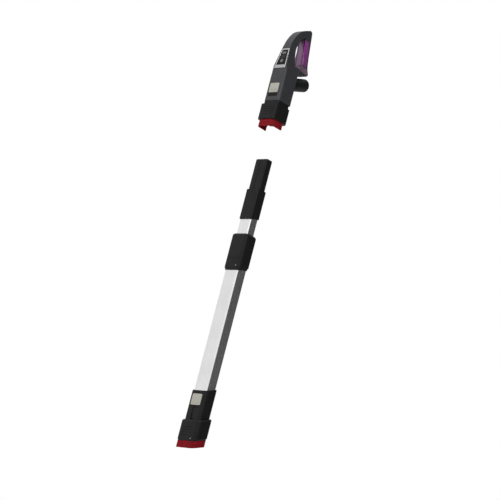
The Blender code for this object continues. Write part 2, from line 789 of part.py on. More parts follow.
def air_duct(anchor):
    """Bent duct from the socket's top to the hose port, changing from rectangular to round."""
    start_z = SOCKET_TOP + GAP
    wide, deep = SPIGOT_WIDTH - 0.004, SPIGOT_DEPTH - 0.002
    round_end = PORT_BORE - 0.0005
    bend = 2 * round_end - 0.0020
    bend_wide, bend_deep = min(wide * 0.74, bend), min(deep * 1.35, bend)
    end = PORT_FRAME.translation + PORT_AIM * 0.002
    route = [
        (Vector((0, 0, start_z)), 0.0, wide, deep, 0.004),
        (Vector((0, 0.0002, start_z + 0.006)), 0.12, wide, deep, 0.006),
        (Vector((0, 0.0012, start_z + 0.013)), 0.45, wide * 0.92, deep * 1.06, 0.009),
        (Vector((0, 0.0050, start_z + 0.020)), 0.85, bend_wide, bend_deep, 0.012),
        (end - PORT_AIM * 0.004, math.pi / 2 - PORT_TILT, 2 * round_end, 2 * round_end, round_end),
        (end, math.pi / 2 - PORT_TILT, 2 * round_end, 2 * round_end, round_end),
    ]
    rings = []
    for place, lean, width, depth, radius in route:
        turn = Matrix.Translation(place) @ Matrix.Rotation(-lean, 4, "X")
        section = rounded(width, depth, min(radius, depth / 2.001))
        rings.append([turn @ Vector((x, y, 0.0)) for x, y in section])
    duct = lofted("air_duct", rings, closed=False)
    wall = duct.modifiers.new("wall", "SOLIDIFY")
    wall.thickness = DUCT_WALL
    wall.offset = -1.0
    wall.use_even_offset = True
    fit(duct, "air_duct", "black", anchor)


def hose_port(anchor, swivel):
    """Round stub for the hose, with a swivel ring snapped into its end."""
    rings = [circle(PORT_RADIUS, count=24), circle(PORT_BORE, count=24)]
    tube = extruded("hose_port", rings, -PORT_ROOT, PORT_LENGTH, PORT_FRAME)
    seat_line = PORT_FRAME @ Matrix.Translation((0, 0, PORT_LENGTH - SWIVEL_SPIGOT - GAP))
    plug = PORT_BORE + SWIVEL_STEP
    seat = rod("swivel_room", plug + SWIVEL_FIT, 2 * SWIVEL_SPIGOT, seat_line, 24)
    fit(cut(tube, seat), "hose_port", "black", anchor)
    low, high = PORT_LENGTH + GAP, PORT_LENGTH + GAP + SWIVEL_LENGTH
    profile = [
        (PORT_BORE - 0.0006, low - SWIVEL_SPIGOT),
        (plug, low - SWIVEL_SPIGOT),
        (plug, low),
        (PORT_RADIUS, low),
        (PORT_RADIUS, high - SWIVEL_ROUND),
        (PORT_RADIUS - SWIVEL_ROUND * 0.13, high - SWIVEL_ROUND * 0.5),
        (PORT_RADIUS - SWIVEL_ROUND * 0.5, high - SWIVEL_ROUND * 0.13),
        (PORT_RADIUS - SWIVEL_ROUND, high),
        (PORT_BORE - 0.0036, high),
        (PORT_BORE - 0.0036, low + 0.004),
        (PORT_BORE - 0.0006, low + 0.001),
    ]
    rings = []
    for radius, height in profile:
        rings.append([PORT_FRAME @ Vector((x, y, height)) for x, y in circle(radius, count=24)])
    fit(lofted("hose_swivel", rings), "hose_swivel", "black", swivel)


def control_panel(anchor, power, mode):
    out = PANEL_PROUD
    outlines = [panel_outline(0.0), lens_outline(0.0)]
    bezel = extruded("panel_bezel", outlines, out - BEZEL_THICK, out, PANEL_FRAME)
    fit(bezel, "panel_bezel", "chrome", anchor)
    holes = [
        lens_outline(GAP),
        circle(POWER_RADIUS, (0.0, POWER_HEIGHT), 20),
        rounded(MODE_WIDTH, MODE_HEIGHT, 0.001, (0.0, MODE_HEIGHT_UP), 2),
    ]
    face = out - LENS_SINK
    lens = extruded("panel_lens", holes, face - LENS_THICK, face, PANEL_FRAME)
    fit(lens, "panel_lens", "gloss", anchor)
    top, foot = out + KEY_PROUD, out - KEY_DEPTH
    shape = circle(POWER_RADIUS - GAP, (0.0, POWER_HEIGHT), 20)
    fit(extruded("power_button", [shape], foot, top, PANEL_FRAME), "power_button", "key", power)
    shape = rounded(MODE_WIDTH - 2 * GAP, MODE_HEIGHT - 2 * GAP, 0.001, (0.0, MODE_HEIGHT_UP), 2)
    fit(extruded("mode_button", [shape], foot, top, PANEL_FRAME), "mode_button", "key", mode)
    board_top = foot - KEY_TRAVEL - SWITCH_HEIGHT - 2 * PIN_FIT + 0.0002
    board_outline = rounded(0.0200, 0.042, 0.001, (0.0, PANEL_LENGTH / 2 + 0.001), 1)
    board = extruded("control_board", [board_outline], board_top - BOARD_THICK, board_top, PANEL_FRAME)
    fit(board, "control_board", "board", anchor)
    low = board_top + GAP / 3
    for name, height in (("power_switch", POWER_HEIGHT), ("mode_switch", MODE_HEIGHT_UP)):
        shape = circle(0.0022, (0.0, height), 10)
        dome = extruded(name, [shape], low, low + SWITCH_HEIGHT, PANEL_FRAME)
        fit(dome, name, "rubber", anchor)


def control_lead(anchor):
    """Lead from the control board down beside the duct to the hose port."""
    start = PANEL_FRAME @ Vector((0.0, 0.0145, -0.0100))
    points = [
        start,
        start + Vector((0.004, 0.002, -0.006)),
        Vector((0.0120, -0.0190, -0.0740)),
        Vector((0.0200, -0.0150, -0.0860)),
        Vector((0.0232, -0.0060, -0.0960)),
        Vector((0.0236, 0.0030, -0.1040)),
    ]
    curve = bpy.data.curves.new("control_lead", "CURVE")
    curve.dimensions = "3D"
    curve.bevel_depth = 0.0011
    curve.bevel_resolution = 1
    curve.use_fill_caps = True
    spline = curve.splines.new("POLY")
    spline.points.add(len(points) - 1)
    for point, place in zip(spline.points, points):
        point.co = (*place, 1.0)
    fit(meshed(put(curve, "control_lead"), UPRIGHT), "control_lead", "rubber", anchor)


def dusting_brush(anchor):
    """Collar that slides on the neck, with a row of bristles round the front and the sides."""
    front, back = BODY_FRONT - COLLAR_FRONT_STEP, BODY_BACK + COLLAR_WALL
    outside = band(BODY_WIDTH + 2 * COLLAR_WALL, front, back, COLLAR_ROUND)
    collar = extruded("brush_collar", [outside, neck_outline(PRESS_GAP)], MOUTH, COLLAR_TOP)
    room = band(BODY_WIDTH, BODY_FRONT, BODY_BACK, SHELL_ROUND, COLLAR_FIT)
    cut(collar, extruded("body_room", [room], MOUTH + FLANGE_THICK, COLLAR_TOP + 0.01))
    for step in range(4):
        height = MOUTH + 0.0120 + step * 0.0065
        groove = ((-0.021, front - 0.001, height), (0.021, front + 0.0009, height + 0.0022))
        cut(collar, box("groove", *groove))
    fit(collar, "brush_collar", "black", anchor)
    inner = neck_outline(0.0008)
    outer = neck_outline(0.0008 + BRISTLE_THICK)
    row = extruded("brush_bristles", [outer, inner], MOUTH - GAP - BRISTLE_LENGTH, MOUTH - GAP)
    cut(row, box("open_back", (-0.05, BRISTLE_BACK_OPEN, MOUTH - 0.05), (0.05, 0.05, MOUTH + 0.01)))
    fit(row, "brush_bristles", "bristle", anchor)


def spigot(anchor):
    """Hollow spigot that plugs into the handle, with a rounded nose ring."""
    outer, inner = socket_outline(), socket_outline(-SPIGOT_WALL)
    seam = SPIGOT_TOP - NOSE_LENGTH
    tube = extruded("wand_spigot", [outer, inner], BLOCK_TOP - SPIGOT_SINK + GAP, seam - GAP)
    rib = RIB_WIDTH / 2
    rib_low = (-rib, SPIGOT_DEPTH / 2 - 0.001, BLOCK_TOP + RIB_LIFT)
    join(tube, box("rib", rib_low, (rib, SPIGOT_DEPTH / 2 + RIB_PROUD, BLOCK_TOP + RIB_HEIGHT)))
    fit(cut(tube, groove_cutter()), "wand_spigot", "black", anchor)
    edge = socket_outline(-NOSE_ROUND * 0.3)
    tip = rounded(SPIGOT_WIDTH - 2 * NOSE_ROUND * 0.55, SPIGOT_DEPTH - 2 * NOSE_ROUND * 0.55, 0.0024)
    rings = [
        level(inner, seam),
        level(outer, seam),
        level(outer, SPIGOT_TOP - NOSE_ROUND),
        level(edge, SPIGOT_TOP - NOSE_ROUND * 0.3),
        level(tip, SPIGOT_TOP),
        level(inner, SPIGOT_TOP),
    ]
    fit(cut(lofted("spigot_nose", rings), groove_cutter()), "spigot_nose", "black", anchor)


def groove_cutter():
    """Shallow groove down the spigot's front, which the catch runs in."""
    half = GROOVE_WIDTH / 2
    front = -SPIGOT_DEPTH / 2
    low, high = BLOCK_TOP - 0.01, SPIGOT_TOP + 0.01
    return box("groove", (-half, front - 0.002, low), (half, front + GROOVE_DEPTH, high))


def wand_block(anchor):
    """Black block between spigot and inner tube. Its front is stepped and its foot is slanted."""
    through = rounded(INNER_WIDTH - 2 * TUBE_WALL - 0.003, INNER_DEPTH - 2 * TUBE_WALL - 0.003, 0.004)
    opening = rounded(SPIGOT_WIDTH - 2 * SPIGOT_WALL, SPIGOT_DEPTH - 2 * SPIGOT_WALL, 0.002)
    outside = rounded(BLOCK_WIDTH, BLOCK_DEPTH, 0.006)
    lip = rounded(BLOCK_WIDTH - 0.0012, BLOCK_DEPTH - 0.0012, 0.0055)
    seat = rounded(INNER_WIDTH + 2 * GAP, INNER_DEPTH + 2 * GAP, TUBE_ROUND - 0.001)
    rings = [
        level(seat, BLOCK_BOTTOM, BLOCK_SLANT),
        level(lip, BLOCK_BOTTOM, BLOCK_SLANT),
        level(outside, BLOCK_BOTTOM + 0.0015, BLOCK_SLANT),
        level(outside, BLOCK_TOP - 0.0012),
        level(lip, BLOCK_TOP),
        level(opening, BLOCK_TOP),
        level(through, INNER_TOP + GAP + 0.004),
        level(through, INNER_TOP + GAP),
        level(seat, INNER_TOP + GAP),
    ]
    block = lofted("wand_block", rings)
    front = -BLOCK_DEPTH / 2
    corners = ((-0.05, front - 0.01, BLOCK_TOP - BLOCK_STEP), (0.05, front + 0.0028, BLOCK_TOP + 0.01))
    step = box("front_step", *corners)
    seat_room = extruded("spigot_seat", [socket_outline(GAP)], BLOCK_TOP - SPIGOT_SINK, BLOCK_TOP + 0.01)
    fit(cut(block, step, seat_room), "wand_block", "black", anchor)


def inner_tube(anchor):
    """Telescopic inner tube with a toothed strip let into its back, and the bush on its lower end."""
    outside = rounded(INNER_WIDTH, INNER_DEPTH, TUBE_ROUND - 0.0015)
    bore = rounded(INNER_WIDTH - 2 * TUBE_WALL, INNER_DEPTH - 2 * TUBE_WALL, TUBE_ROUND - 0.0027)
    tube = extruded("inner_tube", [outside, bore], INNER_BOTTOM, INNER_TOP)
    half = RACK_WIDTH / 2 + GAP
    back = INNER_DEPTH / 2
    rack_top, rack_bottom = BLOCK_BOTTOM - 0.012, INNER_BOTTOM + 0.020
    slot = ((-half, back - 0.004, rack_bottom - GAP), (half, back + 0.002, rack_top + GAP))
    fit(cut(tube, box("rack_slot", *slot)), "inner_tube", "tube", anchor)
    strip_back = back - RACK_TOOTH - 0.0004
    half = RACK_WIDTH / 2
    strip = box("lock_rack", (-half, strip_back - 0.0016, rack_bottom), (half, strip_back, rack_top))
    count = int((rack_top - rack_bottom - 0.01) / RACK_PITCH)
    for index in range(count):
        z = rack_top - 0.008 - index * RACK_PITCH
        corners = ((-0.003, strip_back - 0.0008, z - 0.002), (0.003, strip_back + RACK_TOOTH, z))
        join(strip, box("tooth", *corners))
    fit(settled(strip), "lock_rack", "acetal", anchor)
    thick = TUBE_PLAY - GAP
    bush_outer = rounded(INNER_WIDTH + 2 * thick, INNER_DEPTH + 2 * thick, TUBE_ROUND - 0.0015)
    bush_inner = rounded(INNER_WIDTH + 2 * GAP, INNER_DEPTH + 2 * GAP, TUBE_ROUND - 0.0012)
    foot = INNER_BOTTOM + 0.001
    bush = extruded("inner_bush", [bush_outer, bush_inner], foot, foot + BUSH_LENGTH)
    fit(bush, "inner_bush", "acetal", anchor)


def outer_tube(anchor):
    outside = rounded(OUTER_WIDTH, OUTER_DEPTH, TUBE_ROUND)
    bore = rounded(OUTER_WIDTH - 2 * TUBE_WALL, OUTER_DEPTH - 2 * TUBE_WALL, TUBE_ROUND - TUBE_WALL)
    tube = extruded("outer_tube", [outside, bore], OUTER_BOTTOM, OUTER_TOP)
    half = RACK_WIDTH / 2 + 0.0005
    window = ((-half, 0.0, OUTER_TOP - 0.020), (half, 0.03, OUTER_TOP - 0.006))
    fit(cut(tube, box("pawl_window", *window)), "outer_tube", "tube", anchor)


def telescopic_lock(anchor, sleeve, pawl_body):
    """Lock at the top of the outer tube: fixed base, sliding sleeve, pawl and wiper ring."""
    outside = rounded(LOCK_WIDTH, LOCK_DEPTH, 0.010)
    edge = rounded(LOCK_WIDTH - 0.002, LOCK_DEPTH - 0.002, 0.009)
    seat = rounded(OUTER_WIDTH + 2 * GAP, OUTER_DEPTH + 2 * GAP, TUBE_ROUND + GAP)
    rings = [
        level(seat, LOCK_BOTTOM, LOCK_SLANT),
        level(edge, LOCK_BOTTOM, LOCK_SLANT),
        level(outside, LOCK_BOTTOM + 0.002, LOCK_SLANT),
        level(outside, BASE_TOP),
        level(seat, BASE_TOP),
    ]
    fit(lofted("lock_base", rings), "lock_base", "black", anchor)
    slide_fit = rounded(OUTER_WIDTH + 0.0010, OUTER_DEPTH + 0.0010, TUBE_ROUND + 0.0005)
    mouth = rounded(INNER_WIDTH + 0.0016, INNER_DEPTH + 0.0016, TUBE_ROUND - 0.0007)
    small = rounded(LOCK_WIDTH - 0.0080, LOCK_DEPTH - 0.0080, 0.0075)
    rings = [
        level(slide_fit, BASE_TOP + GAP),
        level(outside, BASE_TOP + GAP),
        level(outside, LOCK_TOP - 0.0060),
        level(edge, LOCK_TOP - 0.0030),
        level(small, LOCK_TOP),
        level(mouth, LOCK_TOP),
        level(mouth, LOCK_TOP - 0.004),
        level(slide_fit, LOCK_TOP - 0.008),
    ]
    shell = lofted("lock_sleeve", rings)
    room = LOCK_DEPTH / 2 - 0.0016
    half = RACK_WIDTH / 2 + 0.0010
    pawl_room = box("pawl_room", (-half, 0.010, BASE_TOP - 0.01), (half, room, OUTER_TOP + 0.004))
    fit(cut(shell, pawl_room), "lock_sleeve", "black", sleeve)
    tip = INNER_DEPTH / 2 + 0.0001
    heel = OUTER_DEPTH / 2 + 0.0002
    pawl = box("lock_pawl", (-0.0035, tip, OUTER_TOP - 0.0170), (0.0035, heel, OUTER_TOP - 0.0095))
    fit(pawl, "lock_pawl", "steel", pawl_body)
    ring_outer = rounded(OUTER_WIDTH, OUTER_DEPTH, TUBE_ROUND)
    ring_inner = rounded(INNER_WIDTH + 0.0008, INNER_DEPTH + 0.0008, TUBE_ROUND - 0.0011)
    wiper = extruded("wiper_ring", [ring_outer, ring_inner], OUTER_TOP + GAP, OUTER_TOP + 0.004)
    fit(wiper, "wiper_ring", "rubber", anchor)


def coupling(anchor):
    """Lower coupling: seat for the tube above, air way through, and a pocket for the rocking catch."""
    outside = rounded(COUPLING_WIDTH, COUPLING_DEPTH, 0.010)
    edge = rounded(COUPLING_WIDTH - 0.002, COUPLING_DEPTH - 0.002, 0.009)
    seat = rounded(OUTER_WIDTH + 2 * GAP, OUTER_DEPTH + 2 * GAP, TUBE_ROUND + GAP)
    way = rounded(COUPLING_DUCT_WIDTH, COUPLING_DUCT_DEPTH, 0.005)
    rings = [
        level(way, COUPLING_BOTTOM, SLANT),
        level(outside, COUPLING_BOTTOM, SLANT),
        level(outside, COUPLING_TOP - 0.0015, SLANT),
        level(edge, COUPLING_TOP, SLANT),
        level(seat, COUPLING_TOP, SLANT),
        level(seat, OUTER_BOTTOM - GAP),
        level(way, OUTER_BOTTOM - GAP - COUPLING_LEDGE),
    ]
    made = lofted("coupling_body", rings)
    front = -COUPLING_DEPTH / 2
    high = COUPLING_TOP - LOWER_BUTTON_DROP
    low = high - LOWER_BUTTON_HEIGHT
    room = [button_outline(LOWER_BUTTON_WIDTH, low, high, BUTTON_FIT, BUTTON_SWING / 2)]
    cut(made, extruded("button_room", room, -front - 0.0055, -front + 0.01, FORWARD))
    half = LEVER_WIDTH / 2 + EAR_GAP
    pin_z = low - LOWER_PIN_DROP
    foot = pin_z - LOWER_REACH
    corners = ((-half, front - 0.01, foot - 0.003), (half, front + 0.0068, low + 0.006))
    cut(made, box("lever_room", *corners))
    tip = GROOVE_WIDTH / 2 - 0.0005
    cut(made, box("tip_room", (-tip, front + 0.004, foot - 0.002), (tip, -0.005, foot + 0.008)))
    pin_room = LATCH_PIN_LENGTH + 2 * GAP
    pin_line = across_at(LOWER_PIN_Y, pin_z, -pin_room / 2)
    cut(made, rod("pin_room", LATCH_PIN_RADIUS + PIN_FIT / 3, pin_room, pin_line))
    fit(made, "coupling_body", "black", anchor)


def coupling_catch(anchor, fixed):
    """Rocking catch of the coupling, with its champagne button and its pin."""
    front = -COUPLING_DEPTH / 2
    high = COUPLING_TOP - LOWER_BUTTON_DROP
    low = high - LOWER_BUTTON_HEIGHT
    outline = [button_outline(LOWER_BUTTON_WIDTH, low, high)]
    button = extruded("coupling_button", outline, -front - 0.0014, -front + 0.0008, FORWARD)
    fit(button, "coupling_button", "silver", anchor)
    pin_z = low - LOWER_PIN_DROP
    foot = pin_z - LOWER_REACH
    behind = front + 0.0014 + GAP
    tip = -COUPLING_DUCT_DEPTH / 2 + 0.0014
    side = [
        (behind, low + 0.016),
        (behind, low + 0.001),
        (front + 0.0012, low - 0.002),
        (front + 0.0012, pin_z - 0.003),
        (front + 0.0024, foot),
        (tip, foot),
        (tip, foot + 0.0025),
        (front + 0.0050, foot + 0.0060),
        (front + 0.0060, pin_z - 0.003),
        (front + 0.0062, pin_z + 0.002),
        (behind + 0.0016, low + 0.004),
        (behind + 0.0016, low + 0.016),
    ]
    half = LEVER_WIDTH / 2
    lever = extruded("coupling_lever", [side], -half, half, SIDEWAYS)
    narrow = GROOVE_WIDTH / 2 - 0.0012
    for sign in (-1, 1):
        corner = (min(sign * narrow, sign * 0.01), front + 0.0045, foot - 0.002)
        other = (max(sign * narrow, sign * 0.01), 0.0, foot + 0.0075)
        cut(lever, box("tip_side", corner, other))
    pin_line = across_at(LOWER_PIN_Y, pin_z, -LATCH_PIN_LENGTH)
    cut(lever, rod("pin_hole", LATCH_PIN_RADIUS + PIN_FIT, 2 * LATCH_PIN_LENGTH, pin_line))
    fit(lever, "coupling_lever", "black", anchor)
    pin_line = across_at(LOWER_PIN_Y, pin_z, -LATCH_PIN_LENGTH / 2)
    pin = rod("coupling_pin", LATCH_PIN_RADIUS, LATCH_PIN_LENGTH, pin_line)
    fit(pin, "coupling_pin", "steel", fixed)


def lower_brush(anchor):
    """Second dusting brush, on a collar with slanted ends that slides on the coupling."""
    top = COUPLING_TOP - LOWER_COLLAR_DROP
    bottom = top - LOWER_COLLAR_LENGTH
    outside = rounded(LOWER_COLLAR_WIDTH, LOWER_COLLAR_DEPTH, 0.013)
    edge = rounded(LOWER_COLLAR_WIDTH - 0.005, LOWER_COLLAR_DEPTH - 0.003, 0.012)
    bore = rounded(COUPLING_WIDTH + 2 * PRESS_GAP, COUPLING_DEPTH + 2 * PRESS_GAP, 0.010 + PRESS_GAP)
    rings = [
        level(bore, bottom, SLANT),
        level(edge, bottom, SLANT),
        level(outside, bottom + 0.004, SLANT),
        level(outside, top - 0.003, SLANT),
        level(edge, top, SLANT),
        level(bore, top, SLANT),
    ]
    collar = lofted("lower_brush_collar", rings)
    front = -LOWER_COLLAR_DEPTH / 2
    for step in range(4):
        height = bottom + front * SLANT + 0.0135 + step * 0.0072
        groove = ((-0.017, front - 0.001, height), (0.017, front + 0.0009, height + 0.0024))
        cut(collar, box("groove", *groove))
    fit(collar, "lower_brush_collar", "black", anchor)
    row_outer = rounded(COUPLING_WIDTH + 0.0072, COUPLING_DEPTH + 0.0044, 0.0118)
    row_inner = rounded(COUPLING_WIDTH + 0.0010, COUPLING_DEPTH + 0.0010, 0.0104)
    rings = [
        level(row_inner, bottom - BRISTLE_LENGTH, SLANT),
        level(row_outer, bottom - BRISTLE_LENGTH, SLANT),
        level(row_outer, bottom - GAP, SLANT),
        level(row_inner, bottom - GAP, SLANT),
    ]
    row = lofted("lower_brush_bristles", rings)
    fit(row, "lower_brush_bristles", "bristle", anchor)


def build():
    lower_pin_z = COUPLING_TOP - LOWER_BUTTON_DROP - LOWER_BUTTON_HEIGHT - LOWER_PIN_DROP
    panel_centre = PANEL_FRAME @ Vector((0.0, POWER_HEIGHT, 0.0))
    mode_centre = PANEL_FRAME @ Vector((0.0, MODE_HEIGHT_UP, 0.0))
    handle = body("handle", (0.0, 0.0, 0.0))
    power = body("power", panel_centre)
    mode = body("mode", mode_centre)
    catch = body("handle_catch", (0.0, LATCH_PIN_Y, LATCH_PIN_Z))
    swivel = body("swivel", PORT_FRAME.translation + PORT_AIM * PORT_LENGTH)
    brush = body("upper_brush", (0.0, 0.0, MOUTH))
    upper = body("wand_upper", (0.0, 0.0, BLOCK_TOP))
    lower = body("wand_lower", (0.0, 0.0, LOCK_TOP))
    sleeve = body("lock_slide", (0.0, 0.0, BASE_TOP))
    pawl = body("pawl", (0.0, OUTER_DEPTH / 2, OUTER_TOP - 0.013))
    lower_catch = body("coupling_catch", (0.0, LOWER_PIN_Y, lower_pin_z))
    foot = body("foot_brush", (0.0, 0.0, COUPLING_TOP - LOWER_COLLAR_DROP))
    handle_shells(handle)
    screws(handle)
    grip_liner(handle)
    wand_socket(handle)
    latch_pin(handle)
    latch(catch)
    air_duct(handle)
    hose_port(handle, swivel)
    control_panel(handle, power, mode)
    control_lead(handle)
    dusting_brush(brush)
    spigot(upper)
    wand_block(upper)
    inner_tube(upper)
    outer_tube(lower)
    telescopic_lock(lower, sleeve, pawl)
    coupling(lower)
    coupling_catch(lower_catch, lower)
    lower_brush(foot)


build()
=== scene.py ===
"""Studio view of the control handle and telescopic wand of a cordless stick vacuum.

Metres, in the same frame as the working model: +Z up along the wand, the panel and the buttons on -Y,
and z = 0 level with the middle of the grip. Visible mouldings are eased copies of the model's pieces,
with the brushes, keys, icons, screws and trim modelled on them.
"""

import json
import math

import bpy
from mathutils import Matrix, Vector

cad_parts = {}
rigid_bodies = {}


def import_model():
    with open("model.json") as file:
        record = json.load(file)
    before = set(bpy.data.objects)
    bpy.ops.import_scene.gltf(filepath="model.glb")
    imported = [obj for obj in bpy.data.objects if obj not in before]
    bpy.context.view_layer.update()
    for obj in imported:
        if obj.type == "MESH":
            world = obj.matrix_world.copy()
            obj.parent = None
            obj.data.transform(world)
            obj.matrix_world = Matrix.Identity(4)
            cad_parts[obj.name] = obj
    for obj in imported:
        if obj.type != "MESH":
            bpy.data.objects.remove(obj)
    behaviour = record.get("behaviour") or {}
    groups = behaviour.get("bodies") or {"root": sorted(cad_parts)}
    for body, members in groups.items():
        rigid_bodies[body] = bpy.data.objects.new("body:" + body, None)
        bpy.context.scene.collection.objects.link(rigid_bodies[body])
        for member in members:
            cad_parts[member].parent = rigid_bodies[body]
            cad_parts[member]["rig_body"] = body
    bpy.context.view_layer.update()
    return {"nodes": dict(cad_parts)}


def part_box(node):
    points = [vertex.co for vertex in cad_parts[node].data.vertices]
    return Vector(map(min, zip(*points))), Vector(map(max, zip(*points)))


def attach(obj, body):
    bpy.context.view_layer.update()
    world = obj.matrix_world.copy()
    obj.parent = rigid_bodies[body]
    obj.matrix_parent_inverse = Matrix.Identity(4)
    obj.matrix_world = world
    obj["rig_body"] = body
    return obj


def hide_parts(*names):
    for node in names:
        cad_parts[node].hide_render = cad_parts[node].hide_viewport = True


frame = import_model()

# Places that the trim is set out from.
PANEL_FOOT = Vector((0.0, -0.0335, -0.0640))
PANEL_HEAD = Vector((0.0, -0.0266, -0.0040))
PORT_FOOT = Vector((0.0, 0.0128, -0.0925))
PORT_TILT = math.radians(20.5)
PORT_RADIUS = 0.018
PORT_BORE = 0.015
PORT_LENGTH = 0.056
PORT_ROOT = 0.005
POWER_HEIGHT = 0.022
MODE_HEIGHT = 0.0464
BODY_FRONT = -0.033
MOUTH = -0.211
LOWER_SLANT = math.tan(math.radians(20))
LOCK_SLANT = math.tan(math.radians(14))
LOWER_MOUTH = -1.0857
LOCK_FOOT = -0.6207

# Where the grip's painted reflection, painted groove shadow and side colour change over, and where the skin
# below the finger loop, purple paled by a painted reflection, starts and ends.
GROOVE_SHADOW_START = 0.0081
GROOVE_SHADOW_END = 0.0123
COLOUR_BLEND = 0.0005
SKIN_FRONT = 0.0017
SKIN_HIGH = -0.0305
SKIN_LOW = -0.0461

# Bristles: filaments stand in tufts at an even pitch, over a dense root.
BRISTLE_LENGTH = 0.019
FOOT_TRIM = 0.0006
TUFT_PITCH = 0.00135
TUFT_REACH = 0.00052
ROOT_LENGTH = 0.0060
ROOT_GAP = 0.0004

# Grip ridges across the foot of each release button.
RIDGE_SINK = 0.0004
RIDGE_FOOT = 0.0042
RIDGE_PITCH = 0.0021
RIDGE_THICK = 0.0009
RIDGE_PROUD = 0.0007

# Camera: where it stands, how it leans, and how much it takes in.
CAMERA_TURN = math.radians(45.0)
CAMERA_TIP = math.radians(-14.0)
CAMERA_ROLL = math.radians(14.5)
CAMERA_TARGET = (0.0132, 0.0186, -0.5618)
FRAME_WIDTH = 1.31


# ---------------------------------------------------------------- working at the bench


def pick(piece):
    """Puts one piece alone on the bench."""
    bpy.ops.object.select_all(action="DESELECT")
    piece.select_set(True)
    bpy.context.view_layer.objects.active = piece
    return piece


def opened(piece, mode="FACE"):
    """Opens a piece for editing with nothing on it selected."""
    pick(piece)
    bpy.ops.object.mode_set(mode="EDIT")
    bpy.ops.mesh.select_mode(type=mode)
    bpy.ops.mesh.select_all(action="DESELECT")
    bpy.ops.object.mode_set(mode="OBJECT")


def choose_faces(piece, wanted):
    """Selects the faces whose centre and normal satisfy wanted, and leaves the piece open for editing."""
    opened(piece)
    for face in piece.data.polygons:
        face.select = wanted(face.center, face.normal)
    bpy.ops.object.mode_set(mode="EDIT")


def closed():
    bpy.ops.object.mode_set(mode="OBJECT")


def applied(piece, kind, **settings):
    """Gives a piece one modifier and fixes its result in the mesh."""
    pick(piece)
    step = piece.modifiers.new(kind.lower(), kind)
    for key, value in settings.items():
        setattr(step, key, value)
    bpy.ops.object.modifier_apply(modifier=step.name)
    return piece


def eased(piece, width, segments=2, sharp=32.0):
    """Rounds a piece's hard edges over by width, and shades it smooth across the gentle ones."""
    limit = math.radians(sharp)
    applied(piece, "BEVEL", width=width, segments=segments, limit_method="ANGLE", angle_limit=limit)
    return smooth(piece)


def smooth(piece, angle=42.0):
    pick(piece)
    bpy.ops.object.shade_smooth_by_angle(angle=math.radians(angle))
    applied(piece, "WEIGHTED_NORMAL", keep_sharp=True, weight=60)
    return piece


def named(piece, name):
    piece.name = name
    piece.data.name = name
    return piece


def block(name, centre, size):
    """A block to start a small piece from, with its place in its mesh."""
    bpy.ops.mesh.primitive_cube_add(size=1.0, location=centre)
    piece = bpy.context.active_object
    piece.scale = size
    bpy.ops.object.transform_apply(location=True, rotation=True, scale=True)
    return named(piece, name)


def disc(name, centre, radius, depth, sides=48):
    """A round blank that stands on the Z axis."""
    bpy.ops.mesh.primitive_cylinder_add(vertices=sides, radius=radius, depth=depth, location=centre)
    piece = bpy.context.active_object
    bpy.ops.object.transform_apply(location=True, rotation=True, scale=True)
    return named(piece, name)


def carved(piece, tool):
    """Cuts the tool's shape out of a piece and throws the tool away."""
    applied(piece, "BOOLEAN", object=tool, operation="DIFFERENCE", solver="EXACT")
    bpy.data.objects.remove(tool, do_unlink=True)
    return piece


def welded(piece, first, *others):
    """Joins loose pieces into one."""
    bpy.ops.object.select_all(action="DESELECT")
    for each in (first, *others):
        each.select_set(True)
    bpy.context.view_layer.objects.active = first
    bpy.ops.object.join()
    return named(first, piece)


def lifted(node, name):
    """A merged copy of one of the model's pieces, ready to be refined."""
    source = frame["nodes"][node]
    piece = bpy.data.objects.new(name, source.data.copy())
    bpy.context.scene.collection.objects.link(piece)
    pick(piece)
    if piece.data.has_custom_normals:
        bpy.ops.mesh.customdata_custom_splitnormals_clear()
    bpy.ops.object.mode_set(mode="EDIT")
    bpy.ops.mesh.select_all(action="SELECT")
    bpy.ops.mesh.remove_doubles(threshold=0.00001)
    bpy.ops.mesh.mark_sharp(clear=True)
    bpy.ops.mesh.dissolve_limited(angle_limit=math.radians(1.5))
    bpy.ops.object.mode_set(mode="OBJECT")
    piece.data.name = name
    return piece


def coated(piece, coat):
    """Gives a piece its finish."""
    piece.data.materials.clear()
    piece.data.materials.append(coat)
    return piece


def hung(piece, body, coat, slot, *stands_for):
    """Finishes a piece, hangs it on the body it moves with, and lets it stand for model pieces."""
    coated(piece, coat)
    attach(piece, body)
    if stands_for:
        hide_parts(*stands_for)
    return piece


def dressed(node, name, edge, coat, slot, segments=2):
    """The usual way to finish a moulding: lift it, ease its edges and hang it in its own place."""
    piece = eased(lifted(node, name), edge, segments)
    return hung(piece, frame["nodes"][node]["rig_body"], coat, slot, node)


def axes_at(place, across, up):
    """The matrix of a face's own axes: across it, up it and out of it."""
    return Matrix.Translation(place) @ Matrix((across, up, across.cross(up))).transposed().to_4x4()


ACROSS = Vector((1.0, 0.0, 0.0))
PANEL = axes_at(PANEL_FOOT, ACROSS, (PANEL_HEAD - PANEL_FOOT).normalized())
PORT_AIM = Vector((0.0, math.cos(PORT_TILT), math.sin(PORT_TILT)))
PORT_UP = Vector((0.0, -math.sin(PORT_TILT), math.cos(PORT_TILT)))
PORT = axes_at(PORT_FOOT, PORT_UP.cross(PORT_AIM), PORT_UP)


def set_on(piece, axes):
    """Moves a piece drawn flat at the origin onto a face of the object."""
    piece.data.transform(axes)
    piece.data.update()
    return piece


# ---------------------------------------------------------------- finishes


def blank(name, colour, rough, metal=0.0):
    """A finish with its uniform values set, and the places its patterns are laid out from."""
    coat = bpy.data.materials.new(name)
    coat.use_nodes = True
    shader = coat.node_tree.nodes["Principled BSDF"]
    shader.inputs["Base Color"].default_value = (*colour, 1.0)
    shader.inputs["Roughness"].default_value = rough
    shader.inputs["Metallic"].default_value = metal
    return coat, shader, coat.node_tree.nodes.new("ShaderNodeTexCoord")


